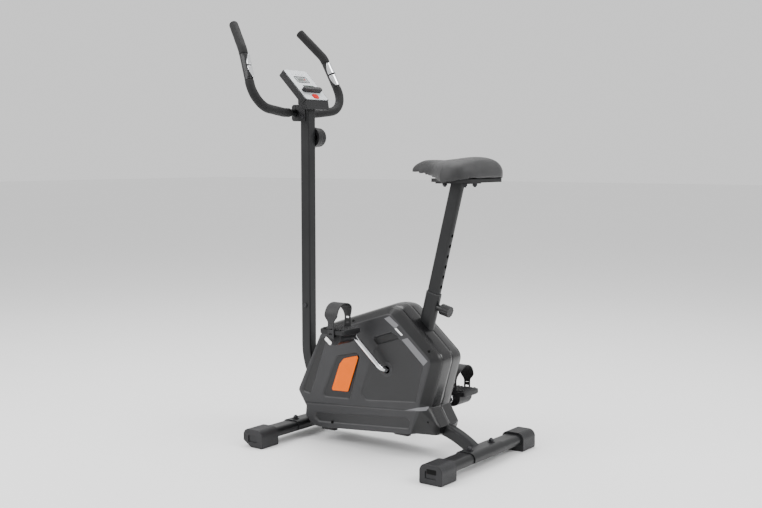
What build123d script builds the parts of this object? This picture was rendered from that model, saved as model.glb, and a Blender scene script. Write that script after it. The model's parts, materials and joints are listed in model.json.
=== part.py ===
from build123d import *
from math import cos, radians, sin, tan
import os

# An upright magnetic exercise bike.
# While it is drawn, x runs rearwards from the rear foot bar, y to the rider's right and z up from the floor.
# When it is written, the whole machine moves along x so that the origin is on the floor under its middle.

# Fits and clearances
running_gap = 0.05       # radial gap between a turning part and what it turns on
sliding_gap = 0.1        # gap on each side of a part that slides
body_gap = 0.4           # least gap between parts that move past each other
bolt_hole_gap = 0.3      # radial gap between a bolt and a plain hole

# Feet
foot_span = 500          # tip to tip over the end caps
foot_spacing = 626       # front bar to rear bar
foot_tube_depth = 60
foot_tube_height = 30
foot_tube_wall = 1.5
foot_tube_underside = 18
cap_length = 71
cap_depth = 72
cap_height = 54
cap_grip = 30            # length of tube inside a cap
cap_top_radius = 20
cap_toe_depth = 39       # the front cap reaches this far ahead of its bar
cap_toe_chamfer = 30
saddle_half_width = 80
saddle_wall = 3
foot_bolt_pitch = 116
foot_bolt_radius = 4

# Transport wheels, in the toes of the front caps
wheel_radius = 17
wheel_width = 22
wheel_axle_radius = 3
wheel_side_gap = 1
wheel_ahead = 17         # wheel centre ahead of the front bar
wheel_height = 20

# Frame tubes
spine_height = 92        # centre of the level run of the spine
spine_depth = 36
spine_width = 32
spine_wall = 2
spine_drop_angle = 36.5
spine_front_bend_x = -548
spine_rear_bend_x = -96
spine_corner_radius = 9
post_x = -619.5
post_depth = 35
post_width = 32
post_wall = 1.5
post_corner = 5
post_joint_height = 360
post_top = 1004
stub_bend_height = 281
stub_bend_radius = 205
stub_bend_angle = 56.5
spigot_length = 80

# Seat post and its sleeve. Distances along the post are measured from the lock pin.
seat_angle = 14          # the post leans back by this much
lock_x = -165.8
lock_z = 432.6
seat_post_depth = 40
seat_post_width = 20
seat_post_corner = 8
seat_post_wall = 1.5
seat_post_foot = -160
sleeve_wall = 1.6
sleeve_top = 34.5
liner_wall = 1.4
liner_length = 62
hole_pitch = 30
holes_above = 7
holes_below = 1
lock_pin_radius = 5
lock_travel = 8
lock_collar_radius = 9
lock_collar_length = 12
lock_knob_radius = 16
lock_knob_length = 29

# Seat
seat_base_height = 782   # underside of the base pan
seat_base_thickness = 10
seat_plate_thickness = 4
seat_length = 256
seat_tail_x = 28
seat_half_width = 126
seat_nose_half_width = 30
seat_thickness = 60
seat_pan_front = -145
seat_stud_radius = 4

# Crank
crank_x = -270
crank_z = 246
crank_radius = 142
crank_angle = 46.1       # the left arm points forward and up
crank_bar_radius = 7
crank_bend_radius = 24
crank_inner_reach = 93   # where the arms bend out of the axle
crank_outer_reach = 108  # where they end
crank_eye_radius = 13
crank_eye_width = 14
shell_radius = 22
shell_wall = 3
shell_half_length = 25
cup_lip = 3
cone_radius = 12

# Drive
pulley_y = 36            # middle of the belt
pulley_radius = 118
pulley_web = 3
belt_width = 12
belt_thickness = 3
small_pulley_radius = 17
flywheel_x = -440
flywheel_z = 218
flywheel_radius = 95
flywheel_width = 18
flywheel_axle_radius = 5
flywheel_hub_radius = 14
bearing_radius = 11
bearing_width = 8
bracket_plate = 3
magnet_gap = 4
magnet_thickness = 4
magnet_strip_thickness = 3
magnet_half_width = 14
magnet_pivot_reach = 112 # from the flywheel axle, straight ahead
magnet_pivot_radius = 4

# Tension cable
cable_radius = 2.5
cable_x = -613
cable_exit_z = 172
cable_end_x = -558

# Covers
cover_half_width = 75
cover_barrel_half_width = 50   # the shoulders slope from here out to the panels
cover_wall = 3
cover_screw_depth = 12   # a screw's head sits this far below the surface
cover_opening_gap = 4
crank_hole_radius = 12
recess_depth = 1.5
insert_thickness = 1.8

# Pedals, measured from the pedal axle
pedal_inner = 121
pedal_width = 80
pedal_length = 78
pedal_top = 18
pedal_depth = 12
pedal_skin = 5
pedal_rim = 3
pedal_lobe_radius = 26
pedal_lobe_width = 68
pedal_weight_length = 60
spindle_radius = 4.5
strap_width = 34
strap_thickness = 2.4
strap_height = 94

# Handlebar
bar_radius = 11
bar_wall = 1.8
grip_radius = 13
foam_start = 45          # the foam begins this far from the clamp's middle
bar_x = -655
bar_z = 984
clamp_half_width = 15
clamp_wall = 6
clamp_bolt_offset = 19
clamp_wing_wall = 2.5

# Console, measured on its sloping face
face_top_x = -671
face_top_z = 1114
face_slope = 45
face_length = 129
face_half_width = 52
console_half_width = 57
console_thickness = 22
console_wall = 2.4
faceplate_thickness = 2
chin_half_width = 52
chin_front = -612
neck_half_width = 19
chin_bottom = 993
button_radius = 9
button_travel = 1.5

# Tension dial
dial_z = 910
dial_housing_radius = 31
dial_housing_depth = 21
dial_radius = 29
dial_depth = 17
dial_gap = 1

# Shared shapes

def block(x0, x1, y0, y1, z0, z1):
    """A box between two corners."""
    return Pos((x0 + x1) / 2, (y0 + y1) / 2, (z0 + z1) / 2) * Box(abs(x1 - x0), abs(y1 - y0), abs(z1 - z0))


def rod(start, end, radius):
    """A round bar from one point to another."""
    run = Vector(*end) - Vector(*start)
    return extrude(Plane(origin=start, z_dir=run) * Circle(radius), amount=run.length)


def along_y(section, x, z, y0, y1):
    """A section drawn in x and z, carried across the machine from y0 to y1."""
    near, far = min(y0, y1), max(y0, y1)
    plane = Plane(origin=(x, far, z), x_dir=(1, 0, 0), z_dir=(0, -1, 0))
    return extrude(plane * section, amount=far - near, dir=(0, -1, 0))


def disc(x, z, radius, y0, y1):
    """A round piece whose axis runs across the machine."""
    return along_y(Circle(radius), x, z, y0, y1)


def ring(x, z, outer, inner, y0, y1):
    """A disc with a round hole through it."""
    return disc(x, z, outer, y0, y1) - disc(x, z, inner, y0, y1)


def outline_face(points, radii):
    """A closed outline whose corners are rounded one by one."""
    return make_face(FilletPolyline(*points, radius=radii, close=True))


def carried(section, path, across=(0, 1, 0)):
    """A section carried along a path that lies in the machine's middle plane."""
    start = Plane(origin=path @ 0, x_dir=across, z_dir=path % 0)
    return sweep(start * section, path=path)


def group(pieces):
    """Several separate solids kept in one sub-part."""
    solids = [solid for piece in pieces for solid in piece.solids()]
    return Compound(children=solids)


def dome_bolt(foot, direction, length, radius):
    """A bolt whose domed head rests on foot, with its shank running along direction."""
    plane = Plane(origin=foot, z_dir=direction)
    head = plane * extrude(Circle(radius * 1.7), amount=-radius * 1.05)
    head = fillet(head.edges().group_by(Axis((0, 0, 0), direction))[0], radius * 0.8)
    shank = plane * extrude(Circle(radius), amount=length)
    return head + shank


# Feet

foot_tube_z = foot_tube_underside + foot_tube_height / 2
front_foot_x = -foot_spacing
foot_tube_end = foot_span / 2 - cap_length + cap_grip


def foot_section(grow):
    """The flat oval of a foot bar, larger all round by grow."""
    return SlotOverall(foot_tube_depth + 2 * grow, foot_tube_height + 2 * grow)


def foot_bolt_points():
    """Where a bolt passes down through each end of each saddle."""
    return [(x, side * foot_bolt_pitch / 2) for x in (front_foot_x, 0) for side in (-1, 1)]


def foot_bars():
    bars = []
    for x in (front_foot_x, 0):
        bar = along_y(foot_section(0), x, foot_tube_z, -foot_tube_end, foot_tube_end)
        bar -= along_y(foot_section(-foot_tube_wall), x, foot_tube_z, -foot_tube_end, foot_tube_end)
        bars.append(bar)
    for x, y in foot_bolt_points():
        hole = rod((x, y, 0), (x, y, cap_height), foot_bolt_radius)
        bars = [bar - hole for bar in bars]
    return group(bars)


def foot_saddles():
    saddles = []
    for x in (front_foot_x, 0):
        saddle = along_y(foot_section(saddle_wall), x, foot_tube_z, -saddle_half_width, saddle_half_width)
        saddle -= along_y(foot_section(0), x, foot_tube_z, -saddle_half_width, saddle_half_width)
        saddle -= block(x - cap_depth, x + cap_depth, -foot_span, foot_span, 0, foot_tube_underside + 6)
        saddles.append(saddle)
    for x, y in foot_bolt_points():
        hole = rod((x, y, 0), (x, y, cap_height), foot_bolt_radius)
        saddles = [saddle - hole for saddle in saddles]
    return group(saddles)


def foot_bolts():
    """Carriage bolts from below, each with a washer and a domed nut on the saddle."""
    pieces = []
    saddle_top = foot_tube_underside + foot_tube_height + saddle_wall
    for x, y in foot_bolt_points():
        shank = rod((x, y, foot_tube_underside), (x, y, saddle_top + 8), foot_bolt_radius)
        head = Pos(x, y, foot_tube_underside) * Cylinder(9, 3, align=(Align.CENTER, Align.CENTER, Align.MAX))
        nut = Pos(x, y, saddle_top) * Cylinder(11, 1.6, align=(Align.CENTER, Align.CENTER, Align.MIN))
        hexagon = extrude(RegularPolygon(7.5, 6), amount=6)
        nut += Pos(x, y, saddle_top + 1.6) * hexagon
        nut += Pos(x, y, saddle_top + 7.6) * Cone(6.4, 3, 3.5, align=(Align.CENTER, Align.CENTER, Align.MIN))
        nut -= shank
        pieces += [head + shank, nut]
    return group(pieces)


def cap_face(toe):
    """The end view of a cap: flat below, rounded above, and cut back at the toe of a front cap."""
    back = cap_depth / 2
    front = -cap_toe_depth if toe else -back
    if toe:
        points = [(front + cap_toe_chamfer, 0), (back, 0), (back, cap_height), (front, cap_height), (front, 19)]
        return outline_face(points, [3, 5, cap_top_radius, cap_top_radius, 3])
    points = [(front, 0), (back, 0), (back, cap_height), (front, cap_height)]
    return outline_face(points, [5, 5, cap_top_radius, cap_top_radius])


def end_cap(x, side, toe):
    tip = side * foot_span / 2
    mouth = side * (foot_span / 2 - cap_length)
    cap = along_y(cap_face(toe), x, 0, mouth, tip)
    tip_edges = cap.edges().filter_by_position(Axis.Y, tip - 0.1, tip + 0.1)
    cap = fillet(tip_edges, 2)
    cap -= along_y(foot_section(0), x, foot_tube_z, mouth, side * foot_tube_end)
    recess_x = x - (cap_toe_depth - cap_depth / 2) / 2 if toe else x
    cap -= block(recess_x - 17, recess_x + 17, tip, tip - side * 2.5, 16, 36)
    if toe:
        cap -= wheel_pocket(side)
    return cap


def wheel_centre():
    return front_foot_x - wheel_ahead, wheel_height


def wheel_middle(side):
    """The wheel sits between the end of the foot bar and the outer end of its cap."""
    return side * (foot_tube_end + foot_span / 2) / 2


def wheel_pocket(side):
    """The slot that a transport wheel turns in, and the bore for its axle."""
    x, z = wheel_centre()
    middle = wheel_middle(side)
    half = wheel_width / 2 + wheel_side_gap
    slot = disc(x, z, wheel_radius + 2, middle - half, middle + half)
    bore = disc(x, z, wheel_axle_radius, middle - half - 5, middle + half + 5)
    return slot + bore


def front_end_caps():
    return group([end_cap(front_foot_x, side, True) for side in (-1, 1)])


def rear_end_caps():
    return group([end_cap(0, side, False) for side in (-1, 1)])


def transport_wheel(side):
    x, z = wheel_centre()
    middle = wheel_middle(side)
    wheel = disc(x, z, wheel_radius, middle - wheel_width / 2, middle + wheel_width / 2)
    wheel = fillet(wheel.edges(), 2)
    return wheel - disc(x, z, wheel_axle_radius + running_gap, middle - wheel_width, middle + wheel_width)


def wheel_axles():
    x, z = wheel_centre()
    half = wheel_width / 2 + wheel_side_gap + 5
    return group([disc(x, z, wheel_axle_radius, wheel_middle(side) - half, wheel_middle(side) + half)
                  for side in (-1, 1)])


# Frame

spine_top = spine_height + spine_depth / 2


def spine_path():
    """Up from the front foot, level through the covers, then down in a long arc to the rear foot."""
    drop = radians(spine_drop_angle)
    rear_run = 97
    front = (front_foot_x + 14, 0, 40)
    front_bend = (spine_front_bend_x, 0, spine_height)
    rear_bend = (spine_rear_bend_x, 0, spine_height)
    rear = (spine_rear_bend_x + rear_run * cos(drop), 0, spine_height - rear_run * sin(drop))
    return FilletPolyline(front, front_bend, rear_bend, rear, radius=[60, 280])


def spine_solid(shrink=0):
    section = RectangleRounded(spine_width - 2 * shrink, spine_depth - 2 * shrink, spine_corner_radius - shrink)
    return carried(section, spine_path())


def spine_tube():
    tube = spine_solid() - spine_solid(spine_wall)
    for x in (front_foot_x, 0):
        tube -= along_y(foot_section(saddle_wall), x, foot_tube_z, -spine_width, spine_width)
    return tube


def stub_path():
    """Straight down from the joint, then curving rearwards to meet the spine."""
    turn = radians(stub_bend_angle)
    corner_z = stub_bend_height - stub_bend_radius * tan(turn / 2)
    run = 140
    end = (post_x + run * sin(turn), 0, corner_z - run * cos(turn))
    return FilletPolyline((post_x, 0, post_joint_height), (post_x, 0, corner_z), end, radius=[stub_bend_radius])


def post_section(shrink):
    return RectangleRounded(post_width - 2 * shrink, post_depth - 2 * shrink, post_corner - shrink * 0.9)


def spigot(shrink, inset, low, high):
    """A length of the spigot, which lies this far inside the post's outer faces."""
    section = RectangleRounded(post_depth - 2 * (inset + shrink), post_width - 2 * (inset + shrink), 4)
    return Pos(post_x, 0, low) * extrude(section, amount=high - low)


def post_bolt_points():
    """Each bolt through the joint: its place on the post's outside, and the way its shank points."""
    front = post_x - post_depth / 2
    left = -post_width / 2
    return [((front, 0, 416), (1, 0, 0)), ((front, 0, 376), (1, 0, 0)), ((post_x, left, 397), (0, 1, 0))]


def post_bolt_holes(radius):
    holes = [rod(foot, Vector(*foot) + Vector(*way) * 8, radius) for foot, way in post_bolt_points()]
    return holes[0] + holes[1] + holes[2]


def lower_post():
    """The stub of the post, bent and coped onto the spine, with the spigot that the upper post slips over."""
    stub = carried(post_section(0), stub_path()) - carried(post_section(post_wall), stub_path())
    stub -= spine_solid()
    stub -= block(post_x, post_x + 200, -post_width, post_width, 0, spine_height)
    low = post_joint_height - 30
    high = post_joint_height + spigot_length
    stub += spigot(0, post_wall - 0.5, low, post_joint_height)
    stub += spigot(0, post_wall + sliding_gap, post_joint_height, high)
    stub -= spigot(2, post_wall + sliding_gap, low, high)
    for side in (-1, 1):
        stub += magnet_ear(side)
    cable_exit = rod((cable_x, 0, cable_exit_z), (cable_end_x, 0, cable_exit_z), cable_radius + 1)
    return stub - post_bolt_holes(foot_bolt_radius) - cable_exit


def magnet_ear(side):
    """A tab welded on the side of the stub, which carries the pin of the magnet bracket."""
    near = side * post_width / 2
    far = side * (post_width / 2 + bracket_plate)
    points = [(-9, 9), (9, 9), (9, -40), (16, -88), (-18, -88), (-9, -40)]
    ear = along_y(outline_face(points, [8, 8, 20, 4, 4, 20]), pivot_x, flywheel_z, near, far)
    return ear - disc(pivot_x, flywheel_z, magnet_pivot_radius, near, far)


def front_post():
    height = post_top - post_joint_height
    post = Pos(post_x, 0, post_joint_height) * extrude(RectangleRounded(post_depth, post_width, post_corner), height)
    inner = RectangleRounded(post_depth - 2 * post_wall, post_width - 2 * post_wall, post_corner - 1)
    post -= Pos(post_x, 0, post_joint_height) * extrude(inner, height)
    post -= post_bolt_holes(foot_bolt_radius)
    post -= rod((cable_x, 0, dial_z), (cable_x, post_width, dial_z), cable_radius + 2)
    return post


seat_lean = radians(seat_angle)
seat_up = Vector(sin(seat_lean), 0, cos(seat_lean))
seat_back = Vector(cos(seat_lean), 0, -sin(seat_lean))
sleeve_depth = seat_post_depth + 2 * (sliding_gap + liner_wall + sleeve_wall)
sleeve_width = seat_post_width + 2 * (sliding_gap + liner_wall + sleeve_wall)


def seat_point(back, up, y=0):
    """A point measured from the lock pin's axis: back across the post, and up along it."""
    point = Vector(lock_x, y, lock_z) + seat_back * back + seat_up * up
    return (point.X, point.Y, point.Z)


def seat_bar(grow, low, high):
    """A length of the seat post's section, larger all round by grow."""
    plane = Plane(origin=seat_point(0, low), x_dir=tuple(seat_back), z_dir=tuple(seat_up))
    section = RectangleRounded(seat_post_depth + 2 * grow, seat_post_width + 2 * grow, seat_post_corner + grow)
    return extrude(plane * section, amount=high - low)


def lock_bar(back0, back1, radius):
    """A round piece along the lock pin's axis."""
    return rod(seat_point(back0, 0), seat_point(back1, 0), radius)


sleeve_foot = (spine_height - lock_z) / cos(seat_lean)
sleeve_face = sleeve_depth / 2
collar_end = sleeve_face + lock_collar_length


def seat_sleeve():
    outside = sliding_gap + liner_wall + sleeve_wall
    sleeve = seat_bar(outside, sleeve_foot, sleeve_top) - seat_bar(outside - sleeve_wall, sleeve_foot, sleeve_top)
    sleeve -= spine_solid()
    sleeve -= block(lock_x - 200, lock_x, -sleeve_width, sleeve_width, 0, spine_height)
    sleeve += lock_bar(sleeve_face - 0.8, collar_end, lock_collar_radius)
    sleeve -= lock_bar(sleeve_face + 1, collar_end - 1.5, lock_collar_radius - 1.6)
    return sleeve - lock_bar(0, collar_end, lock_pin_radius + running_gap)


def sleeve_liner():
    """A plastic bush in the top of the sleeve, with a lip on its rim."""
    outside = sliding_gap + liner_wall
    liner = seat_bar(outside, sleeve_top - liner_length, sleeve_top)
    liner += seat_bar(outside + sleeve_wall, sleeve_top, sleeve_top + 3)
    liner -= seat_bar(sliding_gap, sleeve_top - liner_length, sleeve_top + 3)
    return liner - lock_bar(0, collar_end, lock_pin_radius + body_gap)


def bottom_bracket():
    """The shell that the crank turns in, on an upright from the spine, with a gusset to the seat sleeve."""
    upright = block(crank_x - 34, crank_x - 4, -15, 15, spine_height, crank_z)
    upright -= block(crank_x - 32, crank_x - 6, -13, 13, spine_height, crank_z)
    gusset = block(crank_x, crank_x + 60, -2, 2, crank_z - 15, crank_z + 15)
    shell = upright + gusset + disc(crank_x, crank_z, shell_radius, -shell_half_length, shell_half_length)
    shell -= disc(crank_x, crank_z, shell_radius - shell_wall, -shell_half_length, shell_half_length)
    shell -= spine_solid()
    return shell - seat_bar(sliding_gap + liner_wall + sleeve_wall, sleeve_foot - 20, sleeve_top)


def bearing_cups():
    """Two cups pressed into the ends of the shell."""
    cups = []
    for side in (-1, 1):
        mouth = side * shell_half_length
        cup = ring(crank_x, crank_z, shell_radius - shell_wall, cone_radius + running_gap, mouth - side * 6, mouth)
        cup += ring(crank_x, crank_z, shell_radius, cone_radius + running_gap, mouth, mouth + side * cup_lip)
        cups.append(cup)
    return group(cups)


def bracket_outline(width):
    """An upright of the flywheel bracket: broad at the spine, round about the axle."""
    foot = spine_top + bracket_plate
    points = [(-50, foot - flywheel_z), (50, foot - flywheel_z), (width, 12), (-width, 12)]
    return outline_face(points, [2, 2, 8, 8])


def flywheel_bracket():
    """Two uprights on a cross plate."""
    left = -flywheel_width / 2 - 10
    right = pulley_y + belt_width / 2 + 8
    plate = block(flywheel_x - 50, flywheel_x + 50, left - bracket_plate, right + bracket_plate,
                  spine_top, spine_top + bracket_plate)
    for y0, y1 in ((left - bracket_plate, left), (right, right + bracket_plate)):
        plate += along_y(bracket_outline(18), flywheel_x, flywheel_z, y0, y1)
    return plate - disc(flywheel_x, flywheel_z, flywheel_axle_radius, left - 20, right + 20)


# Crank and drive

arm_x = crank_radius * cos(radians(crank_angle))
arm_z = crank_radius * sin(radians(crank_angle))


def pedal_axis(side):
    """Where a pedal's axle is; side is -1 for the left and 1 for the right."""
    return crank_x + side * arm_x, crank_z - side * arm_z


cone_inner = shell_half_length - 5
cone_outer = shell_half_length + cup_lip + 1


def crank():
    """One bent bar: left arm, axle and right arm, with an eye at each end and a cone inside each cup."""
    points = []
    for side in (-1, 1):
        x, z = pedal_axis(side)
        end = (x, side * crank_outer_reach, z)
        bend = (crank_x, side * crank_inner_reach, crank_z)
        points += [end, bend] if side < 0 else [bend, end]
    path = FilletPolyline(*points, radius=crank_bend_radius)
    bar = sweep(Plane(origin=path @ 0, z_dir=path % 0) * Circle(crank_bar_radius), path=path)
    for side in (-1, 1):
        x, z = pedal_axis(side)
        inner = side * (crank_outer_reach - crank_eye_width / 2)
        outer = side * (crank_outer_reach + crank_eye_width / 2)
        eye = disc(x, z, crank_eye_radius, inner, outer)
        bar += fillet(eye.edges(), 1.5)
        bar += disc(crank_x, crank_z, cone_radius, side * cone_inner, side * cone_outer)
    for side in (-1, 1):
        x, z = pedal_axis(side)
        bar -= disc(x, z, spindle_thread_radius, 0, side * (crank_outer_reach + crank_eye_width))
    return bar


spindle_thread_radius = 6.4


def pedal_spindles():
    """Threaded into the eyes of the crank, each with a shoulder and a plain shaft for the pedal."""
    spindles = []
    for side in (-1, 1):
        x, z = pedal_axis(side)
        face = crank_outer_reach + crank_eye_width / 2
        thread = disc(x, z, spindle_thread_radius, side * (crank_outer_reach - crank_eye_width / 2), side * face)
        shoulder = disc(x, z, 9, side * face, side * (pedal_inner - 2))
        shaft = disc(x, z, spindle_radius, side * face, side * (pedal_inner + pedal_width - 6))
        spindles.append(thread + shoulder + shaft)
    return group(spindles)


def drive_pulley():
    """A dished wheel on the axle: hub, web with round windows, and a flat rim."""
    near = pulley_y - belt_width / 2 - 1
    far = pulley_y + belt_width / 2 + 1
    web = ring(crank_x, crank_z, pulley_radius - 8, crank_bar_radius, pulley_y, pulley_y + pulley_web)
    hub = ring(crank_x, crank_z, 24, crank_bar_radius, cone_outer, far)
    rim = ring(crank_x, crank_z, pulley_radius, pulley_radius - 8, near, far)
    pulley = web + hub + rim
    for turn in range(6):
        angle = radians(60 * turn + 30)
        window_x = crank_x + 66 * cos(angle)
        window_z = crank_z + 66 * sin(angle)
        pulley -= disc(window_x, window_z, 22, near, far)
    return pulley


def belt_loop(grow):
    """The area inside a belt round both pulleys, larger all round by grow."""
    big = Circle(pulley_radius + grow)
    small = Pos(flywheel_x - crank_x, flywheel_z - crank_z) * Circle(small_pulley_radius + grow)
    return make_hull(big.edges() + small.edges())


def drive_belt():
    """The belt stands off the pulleys by the moving gap."""
    near = pulley_y - belt_width / 2
    far = pulley_y + belt_width / 2
    outer = along_y(belt_loop(body_gap + belt_thickness), crank_x, crank_z, near, far)
    return outer - along_y(belt_loop(body_gap), crank_x, crank_z, near, far)


def flywheel():
    """A solid disc with a rim, on a hub that ends in the small pulley."""
    half = flywheel_width / 2
    wheel = disc(flywheel_x, flywheel_z, flywheel_radius, -half, half)
    dish = ring(flywheel_x, flywheel_z, flywheel_radius - 14, flywheel_hub_radius + 8, half - 4, half)
    wheel -= dish
    wheel -= ring(flywheel_x, flywheel_z, flywheel_radius - 14, flywheel_hub_radius + 8, -half, 4 - half)
    wheel += disc(flywheel_x, flywheel_z, flywheel_hub_radius, -half - 4, pulley_y)
    wheel += disc(flywheel_x, flywheel_z, small_pulley_radius, pulley_y - belt_width / 2 - 1,
                  pulley_y + belt_width / 2 + 1)
    wheel -= disc(flywheel_x, flywheel_z, flywheel_axle_radius + 1, -half - 4, pulley_y + belt_width)
    for y0, y1 in flywheel_bearing_ends():
        wheel -= disc(flywheel_x, flywheel_z, bearing_radius, y0, y1)
    return wheel


def flywheel_bearing_ends():
    left = -flywheel_width / 2 - 4
    right = pulley_y + belt_width / 2 + 1
    return (left, left + bearing_width), (right - bearing_width, right)


def flywheel_bearings():
    rings = [ring(flywheel_x, flywheel_z, bearing_radius, flywheel_axle_radius + running_gap, y0, y1)
             for y0, y1 in flywheel_bearing_ends()]
    return group(rings)


def flywheel_axle():
    """A fixed stud through both uprights, with spacers inside them and a nut on each end."""
    left = -flywheel_width / 2 - 10
    right = pulley_y + belt_width / 2 + 8
    axle = disc(flywheel_x, flywheel_z, flywheel_axle_radius, left - 14, right + 14)
    axle += disc(flywheel_x, flywheel_z, 8, left, -flywheel_width / 2 - 4 - body_gap)
    axle += disc(flywheel_x, flywheel_z, 8, pulley_y + belt_width / 2 + 1 + body_gap, right)
    nuts = []
    for y0, y1 in ((left - bracket_plate - 8, left - bracket_plate), (right + bracket_plate, right + bracket_plate + 8)):
        nut = along_y(RegularPolygon(9.5, 6), flywheel_x, flywheel_z, y0, y1)
        nuts.append(nut - disc(flywheel_x, flywheel_z, flywheel_axle_radius, y0, y1))
    return group([axle] + nuts)


pivot_x = flywheel_x - magnet_pivot_reach
strip_inner = flywheel_radius + magnet_gap + magnet_thickness


def arc_band(inner, outer, start, end):
    """Part of a flat ring, between two angles measured from the +x side."""
    wedge = Polygon((0, 0), *[(400 * cos(radians(a)), 400 * sin(radians(a)))
                              for a in (start, (start + end) / 2, end)], align=None)
    return (Circle(outer) - Circle(inner)) & wedge


def magnet_bracket():
    """A curved strip over the flywheel's rim, hinged at its front end, with a tail for the cable."""
    strip_outer = strip_inner + magnet_strip_thickness
    strip = along_y(arc_band(strip_inner, strip_outer, 98, 172), flywheel_x, flywheel_z,
                    -magnet_half_width, magnet_half_width)
    for side in (-1, 1):
        cheek = along_y(arc_band(strip_inner - 4, strip_outer + 6, 150, 176), flywheel_x, flywheel_z,
                        side * (magnet_half_width - 2), side * magnet_half_width)
        lug = disc(pivot_x, flywheel_z, 10, side * (magnet_half_width - 2), side * magnet_half_width)
        strip += cheek + lug
    barrel = disc(pivot_x, flywheel_z, 7, -magnet_half_width, magnet_half_width)
    tail = block(pivot_x - 3, pivot_x + 3, -4, 4, flywheel_z - 36, flywheel_z)
    strip += barrel + tail
    return strip - disc(pivot_x, flywheel_z, magnet_pivot_radius + running_gap, -20, 20)


def magnets():
    pieces = []
    for middle in (106, 122, 138, 154):
        band = arc_band(strip_inner - magnet_thickness, strip_inner, middle - 5.5, middle + 5.5)
        pieces.append(along_y(band, flywheel_x, flywheel_z, -10, 10))
    return group(pieces)


def magnet_pivot():
    """The pin that the magnet bracket turns on, held in the ears."""
    reach = post_width / 2 + bracket_plate
    pin = disc(pivot_x, flywheel_z, magnet_pivot_radius, -reach, reach)
    return pin + disc(pivot_x, flywheel_z, 7, -reach - 3, -reach)


def tension_cable():
    """From the dial into the post, down inside it, along the bent stub and out towards the magnets."""
    points = [(cable_x, post_width / 2 + 6, dial_z), (cable_x, 0, dial_z), (cable_x, 0, 232),
              (cable_x + 25, 0, cable_exit_z), (cable_end_x, 0, cable_exit_z)]
    path = FilletPolyline(*points, radius=[9, 60, 12])
    return sweep(Plane(origin=path @ 0, z_dir=path % 0) * Circle(cable_radius), path=path)


# Covers

def panel_outline():
    """The flat side panel seen from the side: a leaning hexagon over a skirt, cut off at the rear."""
    points = [(-259, 408), (-512, 326), (-600, 148), (-569, 102), (-572, 76), (-546, 46), (-500, 45),
              (-184, 71), (-176, 103), (-163, 145), (-120, 286)]
    radii = [20, 12, 12, 6, 8, 14, 14, 5, 5, 5, 20]
    return points, radii


def barrel_outline():
    """The fuller middle of the covers, which the sloping shoulders rise to."""
    points = [(-253, 434), (-509, 349), (-607, 151), (-573, 104), (-576, 76), (-549, 43), (-500, 42),
              (-112, 73), (-104, 98), (-134, 148), (-93, 294)]
    radii = [48, 24, 16, 6, 8, 16, 16, 6, 6, 5, 32]
    return points, radii


def moved_in(points, inset):
    """The corners of an anticlockwise outline once each side has moved inwards by inset."""
    corners = []
    for i, corner in enumerate(points):
        before = (Vector(*corner) - Vector(*points[i - 1])).normalized()
        after = (Vector(*points[(i + 1) % len(points)]) - Vector(*corner)).normalized()
        normals = Vector(-before.Y, before.X) + Vector(-after.Y, after.X)
        shift = normals * (inset / (1 + before.dot(after)))
        corners.append((corner[0] + shift.X, corner[1] + shift.Y))
    return corners


def cover_section(outline, y, inset):
    """A slice of the covers at one distance from the middle, smaller all round by inset."""
    points, radii = outline
    face = outline_face(moved_in(points, inset), [max(radius - inset, 1) for radius in radii])
    return Plane(origin=(0, y, 0), x_dir=(1, 0, 0), z_dir=(0, -1, 0)) * face


def cover_body(side, inset):
    """One half of the covers' outer form, smaller all round by inset: a barrel, a shoulder and a panel."""
    shoulder = side * (cover_barrel_half_width - inset * 0.4)
    barrel = extrude(cover_section(barrel_outline(), 0, inset), amount=shoulder, dir=(0, 1, 0))
    outer = cover_section(panel_outline(), side * (cover_half_width - inset), inset)
    return barrel + loft([cover_section(barrel_outline(), shoulder, inset), outer], ruled=True)


def cover_screw_points():
    """Each screw's place seen from the side, and how far from the middle the surface is there."""
    return [(-397, 374, 62.5), (-132, 311.5, 62.5), (-469, 65.5, cover_half_width), (-136, 111, 59.5)]


def cover(side):
    form = cover_body(side, 0)
    shell = form - cover_body(side, cover_wall)
    for x, z, surface in cover_screw_points():
        seat = surface - cover_screw_depth
        shell += disc(x, z, 6.5, 0, side * cover_half_width) & form
        shell -= disc(x, z, 2, side * 4, side * seat)
        shell -= disc(x, z, 4.2, side * seat, side * cover_half_width)
    far = side * cover_half_width
    shell -= cover_decoration(far, far - side * recess_depth)
    shell -= disc(crank_x, crank_z, crank_hole_radius, side * 40, far)
    opening = seat_bar(sliding_gap + liner_wall + sleeve_wall + cover_opening_gap, -140, sleeve_top)
    shell -= opening
    shell -= carried(RectangleRounded(post_width + 2 * cover_opening_gap, post_depth + 2 * cover_opening_gap, 8),
                     stub_path())
    return shell - spine_clearance()


def spine_clearance():
    """The openings that the spine passes through, front and rear."""
    width = spine_width + 3
    depth = spine_depth + 3
    return carried(RectangleRounded(width, depth, spine_corner_radius), spine_path())


def insert_outline():
    points = [(-369, 277), (-424, 262), (-440, 244), (-471, 162), (-409, 165)]
    return points, [5, 12, 12, 5, 5]


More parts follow.
